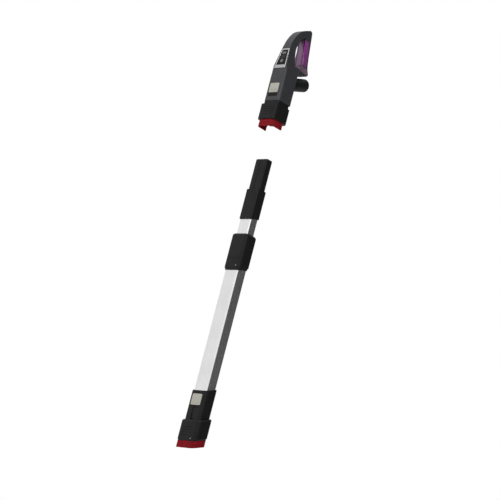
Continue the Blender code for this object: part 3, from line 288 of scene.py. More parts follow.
def stretched(coat, places, stretch):
    """Object places, stretched so that a pattern runs along one axis."""
    tree = coat.node_tree
    mapping = tree.nodes.new("ShaderNodeMapping")
    mapping.inputs["Scale"].default_value = stretch
    tree.links.new(places.outputs["Object"], mapping.inputs["Vector"])
    return mapping.outputs["Vector"]


def mottle(coat, where, size, detail=2.0, rough=0.55):
    """A cloudy pattern whose patches are about size metres across."""
    tree = coat.node_tree
    noise = tree.nodes.new("ShaderNodeTexNoise")
    noise.inputs["Scale"].default_value = 1.0 / size
    noise.inputs["Detail"].default_value = detail
    noise.inputs["Roughness"].default_value = rough
    tree.links.new(where, noise.inputs["Vector"])
    return noise.outputs["Fac"]


def spread(coat, value, low, high, start=0.3, end=0.7):
    """Stretches a pattern's middle range over the values from low to high."""
    tree = coat.node_tree
    ranged = tree.nodes.new("ShaderNodeMapRange")
    ranged.inputs["From Min"].default_value = start
    ranged.inputs["From Max"].default_value = end
    ranged.inputs["To Min"].default_value = low
    ranged.inputs["To Max"].default_value = high
    tree.links.new(value, ranged.inputs["Value"])
    return ranged.outputs["Result"]


def between(coat, share, first, second):
    """Mixes two colours, or patterns of them, by a share."""
    tree = coat.node_tree
    mixed = tree.nodes.new("ShaderNodeMix")
    mixed.data_type = "RGBA"
    tree.links.new(share, mixed.inputs["Factor"])
    for socket, colour in ((mixed.inputs["A"], first), (mixed.inputs["B"], second)):
        if isinstance(colour, tuple):
            socket.default_value = (*colour, 1.0)
        else:
            tree.links.new(colour, socket)
    return mixed.outputs["Result"]


def reckon(coat, operation, first, second=0.0, clamp=False):
    """One sum on patterns."""
    tree = coat.node_tree
    sum_node = tree.nodes.new("ShaderNodeMath")
    sum_node.operation = operation
    sum_node.use_clamp = clamp
    for socket, value in zip(sum_node.inputs, (first, second)):
        if isinstance(value, (int, float)):
            socket.default_value = value
        else:
            tree.links.new(value, socket)
    return sum_node.outputs["Value"]


def rubbed(coat, reach, gain):
    """A share that is 0 on flat stretches and rises along the edges, where handling rubs a finish."""
    tree = coat.node_tree
    rounding = tree.nodes.new("ShaderNodeBevel")
    rounding.samples = 4
    rounding.inputs["Radius"].default_value = reach
    shape = tree.nodes.new("ShaderNodeNewGeometry")
    across = tree.nodes.new("ShaderNodeVectorMath")
    across.operation = "DOT_PRODUCT"
    tree.links.new(rounding.outputs["Normal"], across.inputs[0])
    tree.links.new(shape.outputs["Normal"], across.inputs[1])
    return reckon(coat, "MULTIPLY", reckon(coat, "SUBTRACT", 1.0, across.outputs["Value"]), gain, True)


def raised(coat, shader, height, depth, strength=1.0):
    """Turns a pattern into a surface height of about depth metres."""
    tree = coat.node_tree
    bump = tree.nodes.new("ShaderNodeBump")
    bump.inputs["Strength"].default_value = strength
    bump.inputs["Distance"].default_value = depth
    tree.links.new(height, bump.inputs["Height"])
    tree.links.new(bump.outputs["Normal"], shader.inputs["Normal"])


def lit(colour, gain):
    return tuple(min(1.0, part * gain) for part in colour)


def moulded(name, colour, rough, grain=0.0006, depth=0.00003, worn=1.9, shine=0.5):
    """Moulded plastic: spark-eroded grain, gloss that wanders where it is handled, and paler edges."""
    coat, shader, places = blank(name, colour, rough)
    shader.inputs["Specular IOR Level"].default_value = shine
    tree = coat.node_tree
    flat = places.outputs["Object"]
    handled = mottle(coat, flat, 0.035)
    tone = between(coat, spread(coat, handled, 0.0, 1.0), lit(colour, 0.88), lit(colour, 1.10))
    edge = rubbed(coat, 0.0009, 5.0)
    tree.links.new(between(coat, edge, tone, lit(colour, worn)), shader.inputs["Base Color"])
    tree.links.new(spread(coat, handled, rough + 0.07, rough - 0.06), shader.inputs["Roughness"])
    raised(coat, shader, mottle(coat, flat, grain, 3.0), depth, 0.5)
    return coat


def two_shot_with_painted_reflection(name, colour, rough, skin_with_painted_reflection):
    """Charcoal moulding with a purple skin moulded on below the finger loop, along the floor and sides; its
    pale mauve is a painted reflection of the white room on the purple.
    """
    coat = moulded(name, colour, rough, 0.0006, 0.00003, 1.5, 0.35)
    tree = coat.node_tree
    shader = tree.nodes["Principled BSDF"]
    tone = shader.inputs["Base Color"].links[0].from_socket
    places = tree.nodes.new("ShaderNodeTexCoord")
    parts = tree.nodes.new("ShaderNodeSeparateXYZ")
    tree.links.new(places.outputs["Object"], parts.inputs["Vector"])
    depth, level = parts.outputs["Y"], parts.outputs["Z"]
    # Painted reflection: the pale mauve laid behind SKIN_FRONT and between SKIN_LOW and SKIN_HIGH is the
    # purple skin paled by a painted reflection of the white room.
    behind = spread(coat, depth, 0.0, 1.0, SKIN_FRONT - COLOUR_BLEND, SKIN_FRONT + COLOUR_BLEND)
    under = spread(coat, level, 1.0, 0.0, SKIN_HIGH - COLOUR_BLEND, SKIN_HIGH + COLOUR_BLEND)
    over = spread(coat, level, 0.0, 1.0, SKIN_LOW - COLOUR_BLEND, SKIN_LOW + COLOUR_BLEND)
    share = reckon(coat, "MULTIPLY", behind, reckon(coat, "MULTIPLY", under, over))
    cloud = mottle(coat, places.outputs["Object"], 0.02)
    mauve_with_painted_reflection = between(coat, spread(coat, cloud, 0.0, 1.0), lit(skin_with_painted_reflection, 0.9), lit(skin_with_painted_reflection, 1.1))
    tree.links.new(between(coat, share, tone, mauve_with_painted_reflection), shader.inputs["Base Color"])
    return coat


def brushed(name, colour, rough, stretch, metal=1.0, depth=0.00001):
    """Metal or lacquer with fine drawn lines along one axis."""
    coat, shader, places = blank(name, colour, rough, metal)
    tree = coat.node_tree
    lines = mottle(coat, stretched(coat, places, stretch), 1.0, 4.0, 0.7)
    cloud = mottle(coat, places.outputs["Object"], 0.06)
    tone = between(coat, spread(coat, cloud, 0.0, 1.0), lit(colour, 0.95), lit(colour, 1.04))
    fine = between(coat, spread(coat, lines, 0.0, 0.5), tone, lit(colour, 0.90))
    whole = between(coat, rubbed(coat, 0.0007, 4.0), fine, lit(colour, 1.15))
    tree.links.new(whole, shader.inputs["Base Color"])
    tree.links.new(spread(coat, lines, rough - 0.05, rough + 0.07), shader.inputs["Roughness"])
    raised(coat, shader, lines, depth, 0.35)
    return coat


def polished(name, colour, rough, metal=0.0, shine=0.5):
    """Polished plastic or plate: faint smears that only show in its gloss."""
    coat, shader, places = blank(name, colour, rough, metal)
    shader.inputs["Specular IOR Level"].default_value = shine
    tree = coat.node_tree
    smear = mottle(coat, stretched(coat, places, (1.0, 1.0, 0.4)), 0.012, 4.0)
    tree.links.new(spread(coat, smear, rough * 0.8, rough * 1.5 + 0.02), shader.inputs["Roughness"])
    tone = between(coat, spread(coat, smear, 0.0, 1.0), lit(colour, 0.93), lit(colour, 1.05))
    whole = between(coat, rubbed(coat, 0.0005, 4.0), tone, lit(colour, 1.25))
    tree.links.new(whole, shader.inputs["Base Color"])
    raised(coat, shader, mottle(coat, places.outputs["Object"], 0.02), 0.00002, 0.3)
    return coat


def lacquered_grip(name):
    """Purple pearl lacquer over the grip: pale mauve on its face, the purple paled by a painted reflection
    of the white room, and a deep band down each front corner, the painted shadow of the seam groove there.
    """
    # face is the purple with a painted reflection of the white room on it, deep is a painted shadow in the
    # seam groove at each front corner, and side is the purple itself.
    deep, face, side = (0.035, 0.004, 0.036), (0.235, 0.105, 0.225), (0.34, 0.060, 0.32)
    coat, shader, places = blank(name, side, 0.26, 0.25)
    shader.inputs["Coat Weight"].default_value = 0.6
    shader.inputs["Coat Roughness"].default_value = 0.12
    tree = coat.node_tree
    parts = tree.nodes.new("ShaderNodeSeparateXYZ")
    tree.links.new(places.outputs["Object"], parts.inputs["Vector"])
    out = reckon(coat, "ABSOLUTE", parts.outputs["X"])
    pearl = mottle(coat, places.outputs["Object"], 0.0004, 2.0)
    cloud = mottle(coat, places.outputs["Object"], 0.025)
    mauve_with_painted_reflection = between(coat, spread(coat, cloud, 0.0, 1.0), lit(face, 0.9), lit(face, 1.12))
    pink = between(coat, spread(coat, cloud, 0.0, 1.0), lit(side, 0.9), lit(side, 1.12))
    # Painted light by place across the grip: painted reflection in the middle of the face, painted groove
    # shadow at each front corner, plain purple on the sides.
    into_painted_groove_shadow = spread(coat, out, 0.0, 1.0, GROOVE_SHADOW_START - COLOUR_BLEND, GROOVE_SHADOW_START + COLOUR_BLEND)
    on_side = spread(coat, out, 0.0, 1.0, GROOVE_SHADOW_END - COLOUR_BLEND, GROOVE_SHADOW_END + COLOUR_BLEND)
    whole = between(coat, on_side, between(coat, into_painted_groove_shadow, mauve_with_painted_reflection, deep), pink)
    flecked = between(coat, spread(coat, pearl, 0.0, 0.18, 0.5, 0.75), whole, (0.75, 0.45, 0.75))
    tree.links.new(flecked, shader.inputs["Base Color"])
    tree.links.new(spread(coat, pearl, 0.22, 0.34), shader.inputs["Roughness"])
    raised(coat, shader, pearl, 0.00001, 0.3)
    return coat


def bristled(name, colour):
    """Nylon filaments: each one a little different."""
    coat, shader, places = blank(name, colour, 0.5)
    shader.inputs["Specular IOR Level"].default_value = 0.2
    tree = coat.node_tree
    strands = mottle(coat, stretched(coat, places, (900.0, 900.0, 18.0)), 1.0, 3.0, 0.7)
    clumps = mottle(coat, stretched(coat, places, (160.0, 160.0, 8.0)), 1.0, 2.0)
    tone = between(coat, spread(coat, strands, 0.0, 1.0), lit(colour, 0.55), lit(colour, 1.45))
    both = between(coat, spread(coat, clumps, 0.0, 0.5, 0.45, 0.75), tone, lit(colour, 0.6))
    tree.links.new(both, shader.inputs["Base Color"])
    tree.links.new(spread(coat, strands, 0.38, 0.6), shader.inputs["Roughness"])
    raised(coat, shader, strands, 0.00002, 0.4)
    return coat


def circuit(name):
    """Green solder mask with copper tracks under it."""
    coat, shader, places = blank(name, (0.02, 0.13, 0.05), 0.42)
    tree = coat.node_tree
    cells = tree.nodes.new("ShaderNodeTexBrick")
    cells.inputs["Scale"].default_value = 140.0
    cells.inputs["Color1"].default_value = (0.02, 0.13, 0.05, 1.0)
    cells.inputs["Color2"].default_value = (0.03, 0.17, 0.07, 1.0)
    cells.inputs["Mortar"].default_value = (0.10, 0.26, 0.09, 1.0)
    tree.links.new(places.outputs["Object"], cells.inputs["Vector"])
    tree.links.new(cells.outputs["Color"], shader.inputs["Base Color"])
    cloud = mottle(coat, places.outputs["Object"], 0.004)
    tree.links.new(spread(coat, cloud, 0.34, 0.5), shader.inputs["Roughness"])
    raised(coat, shader, cells.outputs["Fac"], 0.00003, 0.4)
    return coat


# The last colour, the skin below the finger loop, is purple paled by a painted reflection of the white room.
charcoal = two_shot_with_painted_reflection("charcoal_shell", (0.046, 0.047, 0.050), 0.42, (0.19, 0.125, 0.175))
black = moulded("black_moulding", (0.0135, 0.0135, 0.0138), 0.42, 0.0007, 0.00004, 1.6, 0.15)
dark_rubber_and_painted_shadow = moulded("dark_rubber_and_painted_shadow", (0.012, 0.012, 0.012), 0.70, 0.0010, 0.00004, 1.6)
acetal = moulded("acetal_white", (0.62, 0.61, 0.57), 0.42, 0.0012, 0.00002, 1.2)
key_grey = moulded("key_grey", (0.12, 0.121, 0.125), 0.36, 0.0004, 0.00001, 1.25)
mark_white = moulded("printed_mark", (0.36, 0.365, 0.37), 0.45, 0.0003, 0.00001, 1.1)
aluminium = brushed("satin_aluminium", (0.91, 0.91, 0.91), 0.27, (1500.0, 1500.0, 5.0))
champagne = brushed("champagne_lacquer", (0.50, 0.49, 0.43), 0.33, (14.0, 900.0, 900.0), 0.45)
steel = brushed("turned_steel", (0.52, 0.52, 0.53), 0.28, (300.0, 1600.0, 1600.0))
chrome = polished("plated_trim", (0.52, 0.52, 0.53), 0.12, 1.0)
gloss = polished("gloss_plate", (0.006, 0.006, 0.006), 0.06, 0.0, 0.14)
window_glass = polished("tinted_window", (0.020, 0.020, 0.012), 0.10, 0.0, 0.25)
purple = lacquered_grip("grip_lacquer")
bristle_red = bristled("bristle_red", (0.31, 0.005, 0.012))
board_green = circuit("board_green")


# ---------------------------------------------------------------- handle


def dress_shells():
    """The two grey halves, with the long edges of the openings eased."""
    for side in ("left", "right"):
        dressed(f"shell_{side}", f"handle_half_{side}", 0.0004, charcoal, "shell_grey")


def dress_screws():
    """Countersunk screws with a cross recess in each head."""
    for number in range(1, 5):
        low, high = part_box(f"shell_screw_{number}")
        screw = lifted(f"shell_screw_{number}", f"case_screw_{number}")
        centre = (low + high) / 2
        for size in ((0.0016, 0.0032, 0.0007), (0.0016, 0.0007, 0.0032)):
            tool = block("cross_tool", (low.x, centre.y, centre.z), size)
            carved(screw, tool)
        eased(screw, 0.00015)
        hung(screw, "handle", steel, "steel", f"shell_screw_{number}")


def dress_grip():
    """The purple skin round the grip bar."""
    dressed("grip_liner", "grip_skin", 0.0008, purple, "grip_purple", 3)


def dress_hose_port():
    """A smooth round stub, and its softly rounded swivel ring."""
    middle = (PORT_LENGTH - PORT_ROOT) / 2
    stub = disc("hose_stub", (0.0, 0.0, middle), PORT_RADIUS, PORT_LENGTH + PORT_ROOT, 72)
    choose_faces(stub, lambda centre, normal: abs(normal.z) > 0.9)
    bpy.ops.mesh.delete(type="FACE")
    closed()
    applied(stub, "SOLIDIFY", thickness=PORT_RADIUS - PORT_BORE, offset=-1.0)
    eased(stub, 0.0005, 3)
    hung(set_on(stub, PORT), "handle", black, "moulding_black", "hose_port")
    ring = lifted("hose_swivel", "swivel_ring")
    applied(ring, "BEVEL", width=0.0004, segments=1, limit_method="ANGLE", angle_limit=math.radians(50))
    applied(ring, "SUBSURF", levels=2, render_levels=2)
    smooth(ring, 60.0)
    hung(ring, "swivel", black, "moulding_black", "hose_swivel")


def tapered_plate(name, low, high, wide, narrow, bottom, top):
    """A tapered plate on the panel, from height low to high, wide at its foot and narrow at its head."""
    plate = block(name, (0.0, (low + high) / 2, (bottom + top) / 2), (wide, high - low, top - bottom))
    for corner in plate.data.vertices:
        if corner.co.y > (low + high) / 2:
            corner.co.x *= narrow / wide
    return plate


def dress_panel():
    """Plated bezel ringed by a dark frame, the painted shadow of the gap at its edge, the gloss plate with
    its tinted window, and the two keys.
    """
    bezel = lifted("panel_bezel", "bezel_trim")
    eased(bezel, 0.0009, 4)
    hung(bezel, "handle", chrome, "bezel_chrome", "panel_bezel")
    # Painted shadow: this dark frame round the bezel stands for the shadow in the gap at the bezel's edge.
    painted_shadow_frame = tapered_plate("bezel_shadow_frame", -0.0014, 0.0618, 0.0432, 0.0288, -0.0020, 0.0002)
    inner = tapered_plate("shadow_frame_tool", 0.0012, 0.0592, 0.0372, 0.0234, -0.0060, 0.0060)
    carved(painted_shadow_frame, inner)
    eased(painted_shadow_frame, 0.0002)
    hung(set_on(painted_shadow_frame, PANEL), "handle", dark_rubber_and_painted_shadow, "seal_rubber")
    dressed("panel_lens", "gloss_plate", 0.00025, gloss, "panel_gloss")
    window = tapered_plate("tinted_window", 0.0298, 0.0412, 0.0176, 0.0152, -0.0004, 0.00055)
    eased(window, 0.0003, 2)
    hung(set_on(window, PANEL), "handle", window_glass, "panel_gloss")
    dress_power_key()
    dress_mode_key()


def dress_power_key():
    """Round key with a raised rim, a dished face and the power sign on it."""
    key = lifted("power_button", "power_key_cap")
    outward = PANEL.to_3x3() @ Vector((0.0, 0.0, 1.0))
    choose_faces(key, lambda centre, normal: normal.dot(outward) > 0.9)
    bpy.ops.mesh.inset(thickness=0.0009, depth=-0.00035)
    closed()
    eased(key, 0.0002, 2)
    hung(key, "power_key", key_grey, "key_grey", "power_button")
    bpy.ops.mesh.primitive_torus_add(
        major_radius=0.0021, minor_radius=0.0003, major_segments=36, minor_segments=8
    )
    ring = named(bpy.context.active_object, "power_ring")
    choose_faces(ring, lambda centre, normal: centre.y > 0.0017)
    bpy.ops.mesh.delete(type="FACE")
    closed()
    opened(ring, "EDGE")
    bpy.ops.object.mode_set(mode="EDIT")
    bpy.ops.mesh.select_non_manifold()
    bpy.ops.mesh.edge_face_add()
    closed()
    stem = block("power_stem", (0.0, 0.0018, 0.0), (0.0005, 0.0022, 0.0004))
    sign = welded("power_sign", ring, stem)
    sign.data.transform(Matrix.Translation((0.0, POWER_HEIGHT, 0.00072)))
    smooth(sign, 50.0)
    hung(set_on(sign, PANEL), "power_key", mark_white, "key_grey")


def dress_mode_key():
    """Bar key with two raised level marks on its face."""
    dressed("mode_button", "mode_key_cap", 0.0004, mark_white, "key_grey", 3)
    marks = []
    for place, width in ((-0.0034, 0.0020), (0.0, 0.0026), (0.0036, 0.0032)):
        marks.append(block("level_mark", (place, MODE_HEIGHT, 0.0011), (width, 0.0024, 0.0003)))
    bars = eased(welded("level_marks", *marks), 0.0001, 1)
    hung(set_on(bars, PANEL), "mode_key", dark_rubber_and_painted_shadow, "key_grey")


def dished_button(node, name, rim, sink):
    """A button with a raised rim and a dished face."""
    button = lifted(node, name)
    choose_faces(button, lambda centre, normal: normal.y < -0.9)
    bpy.ops.mesh.inset(thickness=rim, depth=-sink)
    closed()
    return eased(button, 0.0004, 3)


def ridge_row(name, centre, width, count, pitch, thick, proud):
    """A row of rounded ridges on a front face, from the lowest one up."""
    ridges = []
    for step in range(count):
        place = (centre.x, centre.y, centre.z + step * pitch)
        ridges.append(block("ridge", place, (width, proud, thick)))
    return eased(welded(name, *ridges), min(thick, proud) * 0.3, 2)


def dress_handle_catch():
    """Release button, its grip ridges, and the ribbed black plate below it, which stands for the shade in
    the recess there.
    """
    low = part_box("release_button")[0]
    button = dished_button("release_button", "release_cap", 0.0022, 0.0005)
    hung(button, "handle_catch", champagne, "button_champagne", "release_button")
    foot = Vector((0.0, low.y + RIDGE_SINK, low.z + RIDGE_FOOT))
    ridges = ridge_row("release_ridges", foot, 0.0225, 4, RIDGE_PITCH, RIDGE_THICK, RIDGE_PROUD)
    hung(ridges, "handle_catch", champagne, "button_champagne")
    # Painted shade: a black plate nearly flush with the shell stands for the shade in the recess below the
    # button.
    rest = block("recess_shadow_plate", (0.0, BODY_FRONT + 0.0002, low.z - 0.0060), (0.0330, 0.0011, 0.0095))
    eased(rest, 0.0004, 3)
    hung(rest, "handle", black, "moulding_black")
    lowest = Vector((0.0, BODY_FRONT - 0.0004, low.z - 0.0090))
    ribs = ridge_row("thumb_ribs", lowest, 0.0290, 4, RIDGE_PITCH, 0.0010, 0.0008)
    hung(ribs, "handle", black, "moulding_black")


# ---------------------------------------------------------------- brushes


def filament_tuft(length):
    """Seven tapered filaments that stand together, drawn once and copied round each brush."""
    strands = []
    for step in range(7):
        turn = step * math.pi / 3
        reach = 0.0 if step == 6 else TUFT_REACH
        place = (reach * math.cos(turn), reach * math.sin(turn), -length / 2)
        bpy.ops.mesh.primitive_cone_add(
            vertices=5, radius1=0.00021, radius2=0.00027, depth=length, location=place
        )
        strand = bpy.context.active_object
        lean = 1.0 + 0.06 * step
        bpy.ops.object.transform_apply(location=True, rotation=True, scale=True)
        for corner in strand.data.vertices:
            if corner.co.z < -length / 2:
                corner.co.x *= lean
                corner.co.y *= lean
        strands.append(strand)
    return welded("tuft", *strands)


def round_the_mouth(half_wide, half_deep, corner, middle):
    """Even places with their outward direction, anticlockwise round a rounded rectangle."""
    legs = []
    flat_x, flat_y = half_wide - corner, half_deep - corner
    for index, (x, y) in enumerate([(1, 1), (-1, 1), (-1, -1), (1, -1)]):
        turn = index * math.pi / 2
        for step in range(13):
            angle = turn + step * math.pi / 24
            out = Vector((math.cos(angle), math.sin(angle), 0.0))
            legs.append((Vector((x * flat_x, y * flat_y, 0.0)) + out * corner, out))
    legs.append(legs[0])
    places = []
    spare = 0.0
    for (start, out), (end, out_end) in zip(legs, legs[1:]):
        run = (end - start).length
        while spare < run:
            share = spare / run
            facing = (out.lerp(out_end, share)).normalized()
            places.append((start.lerp(end, share) + Vector((0.0, middle, 0.0)), facing))
            spare += TUFT_PITCH
        spare -= run
    return places


def planted(name, places, length, top, slope, rows):
    """Tufts set in rows round a mouth, each turned and trimmed a little differently."""
    tuft = filament_tuft(length)
    copies = []
    for row, offset in enumerate(rows):
        for index, (place, out) in enumerate(places):
            # A share from 0 to 1 that jumps about from tuft to tuft but is the same in every run.
            wobble = math.sin(index * 12.9898 + row * 78.233) * 43758.5453
            wobble -= math.floor(wobble)
            shift = math.sin(index * 4.1414 + row * 9.1)
            along = Vector((-out.y, out.x, 0.0)) * (0.0005 * row)
            root = place + out * offset + along
            made = bpy.data.objects.new("tuft_copy", tuft.data.copy())
            bpy.context.scene.collection.objects.link(made)
            trim = 1.0 - 0.035 * wobble
            turn = Matrix.Rotation(wobble * math.tau, 4, "Z")
            splay = Matrix.Rotation(math.radians(0.9 * shift), 4, out)
            lift = Matrix.Translation((root.x, root.y, top + slope * root.y))
            made.data.transform(lift @ splay @ turn @ Matrix.Diagonal((1.0, 1.0, trim, 1.0)))
            copies.append(made)
    bpy.data.objects.remove(tuft, do_unlink=True)
    row = welded(name, *copies)
    pick(row)
    bpy.ops.object.shade_smooth_by_angle(angle=math.radians(60))
    return row


def bristle_root(node, name, top, slope):
    """The dense roots of a brush: the row's own section, cut off short."""
    root = lifted(node, name)
    for corner in root.data.vertices:
        shortest = top + slope * corner.co.y - ROOT_LENGTH
        corner.co.z = max(corner.co.z, shortest)
    root.data.update()
    return eased(root, 0.0003, 1)


def dress_upper_brush():
    """Ribbed collar on the neck, with filaments round the front and sides of the mouth."""
    dressed("brush_collar", "upper_collar", 0.0007, black, "moulding_black", 3)
    middle = (-0.0295 + 0.0129) / 2
    round_places = round_the_mouth(0.0270, 0.0237, 0.0105, middle)
    places = [(place, out) for place, out in round_places if place.y < 0.0032]
    rows = (-0.0009, 0.0, 0.0009)
    row = planted("upper_filaments", places, BRISTLE_LENGTH, MOUTH - ROOT_GAP, 0.0, rows)
    hung(row, "upper_brush", bristle_red, "bristle_red", "brush_bristles")
    root = bristle_root("brush_bristles", "upper_filament_roots", MOUTH, 0.0)
    hung(root, "upper_brush", bristle_red, "bristle_red")


def dress_lower_brush():
    """Ribbed collar with slanted ends, and filaments all round its mouth."""
    dressed("lower_brush_collar", "lower_collar", 0.0008, black, "moulding_black", 3)
    places = round_the_mouth(0.0305, 0.0225, 0.0095, 0.0)
    rows = (-0.0007, 0.0, 0.0007)
    length = BRISTLE_LENGTH - FOOT_TRIM
    row = planted("lower_filaments", places, length, LOWER_MOUTH - ROOT_GAP, LOWER_SLANT, rows)
    hung(row, "foot_brush", bristle_red, "bristle_red", "lower_brush_bristles")
    root = bristle_root("lower_brush_bristles", "lower_filament_roots", LOWER_MOUTH, LOWER_SLANT)
    hung(root, "foot_brush", bristle_red, "bristle_red")


# ---------------------------------------------------------------- wand


def grooved_tube(node, name, half, front):
    """A drawn tube with a fine groove down each side of its front and back."""
    tube = lifted(node, name)
    low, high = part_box(node)
    for side in (-1, 1):
        for face in (-1, 1):
            place = (side * half, face * front, (low.z + high.z) / 2)
            tool = block("groove_tool", place, (0.0007, 0.0006, high.z - low.z + 0.01))
            carved(tube, tool)
    eased(tube, 0.00015, 2, 24.0)
    return hung(tube, frame["nodes"][node]["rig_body"], aluminium, "tube_aluminium", node)


def dress_wand_top():
    """Neck that the spigot plugs into, then the spigot, its nose ring and the block."""
    dressed("wand_socket", "neck_moulding", 0.0005, black, "moulding_black")
    dressed("wand_spigot", "spigot_body", 0.0005, black, "moulding_black")
    dressed("spigot_nose", "spigot_nose_ring", 0.0006, black, "moulding_black", 3)
    dressed("wand_block", "stepped_block", 0.0007, black, "moulding_black", 3)


def stud(name, place, out, radius, body):
    """A small domed steel stud that stands out of a moulding."""
    bpy.ops.mesh.primitive_uv_sphere_add(segments=24, ring_count=12, radius=radius)
    piece = named(bpy.context.active_object, name)
    turn = out.to_track_quat("Z", "Y").to_matrix().to_4x4()
    piece.data.transform(Matrix.Translation(place) @ turn @ Matrix.Diagonal((1.0, 1.0, 0.45, 1.0)))
    choose_faces(piece, lambda centre, normal: (centre - place).dot(out) < -0.0002)
    bpy.ops.mesh.delete(type="FACE")
    bpy.ops.mesh.select_all(action="DESELECT")
    bpy.ops.mesh.select_mode(type="EDGE")
    bpy.ops.mesh.select_non_manifold()
    bpy.ops.mesh.edge_face_add()
    closed()
    smooth(piece, 60.0)
    return hung(piece, body, chrome, "steel")


def slanted_ring(name, wide, deep, corner, wall, top, bottom, slope):
    """A rounded rectangular ring whose ends follow a slant."""
    ring = block(name, (0.0, 0.0, (top + bottom) / 2), (wide, deep, top - bottom))
    opened(ring, "EDGE")
    for edge in ring.data.edges:
        first, second = (ring.data.vertices[index].co for index in edge.vertices)
        edge.select = abs(first.z - second.z) > 0.5 * (top - bottom)
    bpy.ops.object.mode_set(mode="EDIT")
    bpy.ops.mesh.bevel(offset=corner, segments=6, affect="EDGES")
    closed()
    choose_faces(ring, lambda centre, normal: abs(normal.z) > 0.9)
    bpy.ops.mesh.delete(type="FACE")
    closed()
    applied(ring, "SOLIDIFY", thickness=wall, offset=-1.0, use_even_offset=True)
    for each in ring.data.vertices:
        each.co.z += slope * each.co.y
    ring.data.update()
    return eased(ring, 0.0002, 2, 60.0)


def dress_lock():
    """Slide lock: sleeve, fixed base, and the lip that shows under the base."""
    dressed("lock_sleeve", "lock_sleeve_cap", 0.0007, black, "moulding_black", 3)
    dressed("lock_base", "lock_foot", 0.0007, black, "moulding_black", 3)
    lip_top, lip_foot = LOCK_FOOT + 0.004, LOCK_FOOT - 0.0045
    lip = slanted_ring("lock_lip", 0.0524, 0.0392, 0.0090, 0.0017, lip_top, lip_foot, LOCK_SLANT)
    hung(lip, "wand_lower", black, "moulding_black")
    stud("lock_stud", Vector((0.0155, -0.0209, -0.6172)), Vector((0.0, -1.0, 0.0)), 0.0013, "wand_lower")


def dress_tubes():
    grooved_tube("inner_tube", "inner_tube_drawn", 0.0138, 0.01425)
    grooved_tube("outer_tube", "outer_tube_drawn", 0.0160, 0.01775)


def dress_coupling():
    """Coupling body, its button with grip ridges, the toothed thumb rest and the collar's stud."""
    dressed("coupling_body", "coupling_shell", 0.0007, black, "moulding_black", 3)
    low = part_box("coupling_button")[0]
    button = dished_button("coupling_button", "coupling_cap", 0.0022, 0.0004)
    hung(button, "coupling_catch", champagne, "button_champagne", "coupling_button")
    foot = Vector((0.0, low.y + RIDGE_SINK, low.z + RIDGE_FOOT))
    ridges = ridge_row("coupling_ridges", foot, 0.0240, 3, RIDGE_PITCH, RIDGE_THICK, RIDGE_PROUD)
    hung(ridges, "coupling_catch", champagne, "button_champagne")
    teeth = []
    for step in range(6):
        place = (-0.0125 + step * 0.0050, low.y + 0.0009, low.z - 0.0040)
        teeth.append(block("tooth", place, (0.0030, 0.0012, 0.0056)))
    rest = eased(welded("thumb_teeth", *teeth), 0.0003, 2)
    hung(rest, "wand_lower", black, "moulding_black")
    stud("collar_stud", Vector((0.0175, -0.0244, -1.0875)), Vector((0.0, -1.0, 0.0)), 0.0014, "foot_brush")


def coat_hidden_pieces():
    """Finishes for the pieces inside, which keep the model's own shapes."""
    inside = {
        "latch_lever": (black, "moulding_black"),
        "coupling_lever": (black, "moulding_black"),
        "air_duct": (black, "moulding_black"),
        "latch_pin": (steel, "steel"),
        "coupling_pin": (steel, "steel"),
        "lock_pawl": (steel, "steel"),
        "control_board": (board_green, "board_green"),
        "power_switch": (dark_rubber_and_painted_shadow, "seal_rubber"),
        "mode_switch": (dark_rubber_and_painted_shadow, "seal_rubber"),
        "control_lead": (dark_rubber_and_painted_shadow, "seal_rubber"),
        "wiper_ring": (dark_rubber_and_painted_shadow, "seal_rubber"),
        "lock_rack": (acetal, "bush_white"),
        "inner_bush": (acetal, "bush_white"),
    }
    for node, (coat, slot) in inside.items():
        coated(frame["nodes"][node], coat)


# ---------------------------------------------------------------- studio


def light_the_room():
    """A white room that falls away to grey on the far right, as beside a soft box."""
    room = bpy.data.worlds.new("white_room")
    bpy.context.scene.world = room
    room.use_nodes = True
    tree = room.node_tree
    tree.nodes.clear()
    places = tree.nodes.new("ShaderNodeTexCoord")
    toward = tree.nodes.new("ShaderNodeVectorMath")
    toward.operation = "DOT_PRODUCT"
    toward.inputs[1].default_value = (0.707, 0.707, 0.0)
    tree.links.new(places.outputs["Generated"], toward.inputs[0])
    fall = tree.nodes.new("ShaderNodeMapRange")
    fall.interpolation_type = "SMOOTHSTEP"
    fall.inputs["From Min"].default_value = 0.15
    fall.inputs["From Max"].default_value = 0.75
    fall.inputs["To Min"].default_value = 0.82
    fall.inputs["To Max"].default_value = 0.07
    tree.links.new(toward.outputs["Value"], fall.inputs["Value"])
    lamp = tree.nodes.new("ShaderNodeBackground")
    tree.links.new(fall.outputs["Result"], lamp.inputs["Color"])
    wall = tree.nodes.new("ShaderNodeBackground")
    wall.inputs["Color"].default_value = (1.0, 1.0, 1.0, 1.0)
    ray = tree.nodes.new("ShaderNodeLightPath")
    mixed = tree.nodes.new("ShaderNodeMixShader")
    tree.links.new(ray.outputs["Is Camera Ray"], mixed.inputs["Fac"])
    tree.links.new(lamp.outputs["Background"], mixed.inputs[1])
    tree.links.new(wall.outputs["Background"], mixed.inputs[2])
    output = tree.nodes.new("ShaderNodeOutputWorld")
    tree.links.new(mixed.outputs["Shader"], output.inputs["Surface"])


def soft_box(name, place, aim, size, power):
    lamp = bpy.data.lights.new(name, "AREA")
    lamp.shape = "RECTANGLE"
    lamp.size, lamp.size_y = size
    lamp.energy = power
    holder = bpy.data.objects.new(name, lamp)
    bpy.context.scene.collection.objects.link(holder)
    holder.location = place
    holder.rotation_euler = (Vector(aim) - Vector(place)).to_track_quat("-Z", "Y").to_euler()


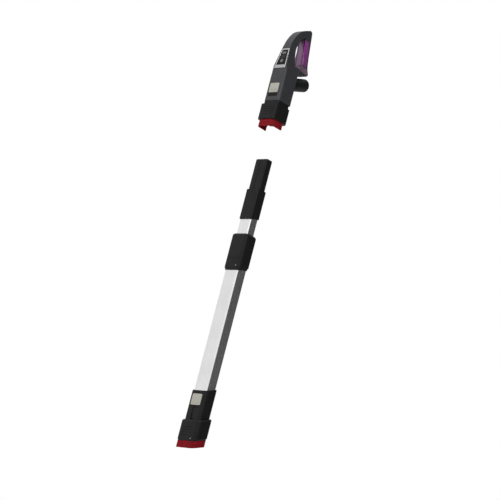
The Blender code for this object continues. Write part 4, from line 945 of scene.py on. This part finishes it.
def lay_the_floor():
    """A wide pale floor, well below the lifted wand."""
    bpy.ops.mesh.primitive_circle_add(vertices=96, radius=30.0, fill_type="NGON", location=(0.0, 0.0, -2.35))
    floor = named(bpy.context.active_object, "studio_floor")
    bpy.ops.object.transform_apply(location=True, rotation=True, scale=True)
    coat, shader, places = blank("pale_floor", (0.86, 0.86, 0.86), 0.6)
    cloud = mottle(coat, places.outputs["Object"], 1.5)
    tone = between(coat, cloud, (0.84, 0.84, 0.84), (0.88, 0.88, 0.88))
    coat.node_tree.links.new(tone, shader.inputs["Base Color"])
    floor.data.materials.append(coat)


def set_up_camera():
    """Long lens, a little below the object and off its front right corner, rolled so that the wand leans."""
    level = Vector((math.sin(CAMERA_TURN), -math.cos(CAMERA_TURN), 0.0))
    back = level * math.cos(CAMERA_TIP) + Vector((0.0, 0.0, math.sin(CAMERA_TIP)))
    right = Vector((math.cos(CAMERA_TURN), math.sin(CAMERA_TURN), 0.0))
    up = back.cross(right)
    across = right * math.cos(CAMERA_ROLL) + up * math.sin(CAMERA_ROLL)
    upward = up * math.cos(CAMERA_ROLL) - right * math.sin(CAMERA_ROLL)
    lens = bpy.data.cameras.new("long_lens")
    lens.lens = 150.0
    lens.sensor_width = 36.0
    lens.clip_end = 100.0
    camera = bpy.data.objects.new("camera", lens)
    bpy.context.scene.collection.objects.link(camera)
    distance = FRAME_WIDTH * lens.lens / lens.sensor_width
    axes = Matrix((across, upward, back)).transposed().to_4x4()
    camera.matrix_world = Matrix.Translation(Vector(CAMERA_TARGET) + back * distance) @ axes
    bpy.context.scene.camera = camera


set_up_camera()
light_the_room()
soft_box("key_box", (1.5, -2.4, 1.4), (0.0, 0.0, -0.5), (1.2, 1.6), 26.0)
soft_box("top_box", (-0.3, -0.6, 2.3), (0.0, 0.0, -0.3), (1.4, 1.4), 12.0)
lay_the_floor()
bpy.context.scene.view_settings.view_transform = "Standard"

dress_shells()
dress_screws()
dress_grip()
dress_hose_port()
dress_panel()
dress_handle_catch()
dress_upper_brush()
dress_wand_top()
dress_tubes()
dress_lock()
dress_coupling()
dress_lower_brush()
coat_hidden_pieces()
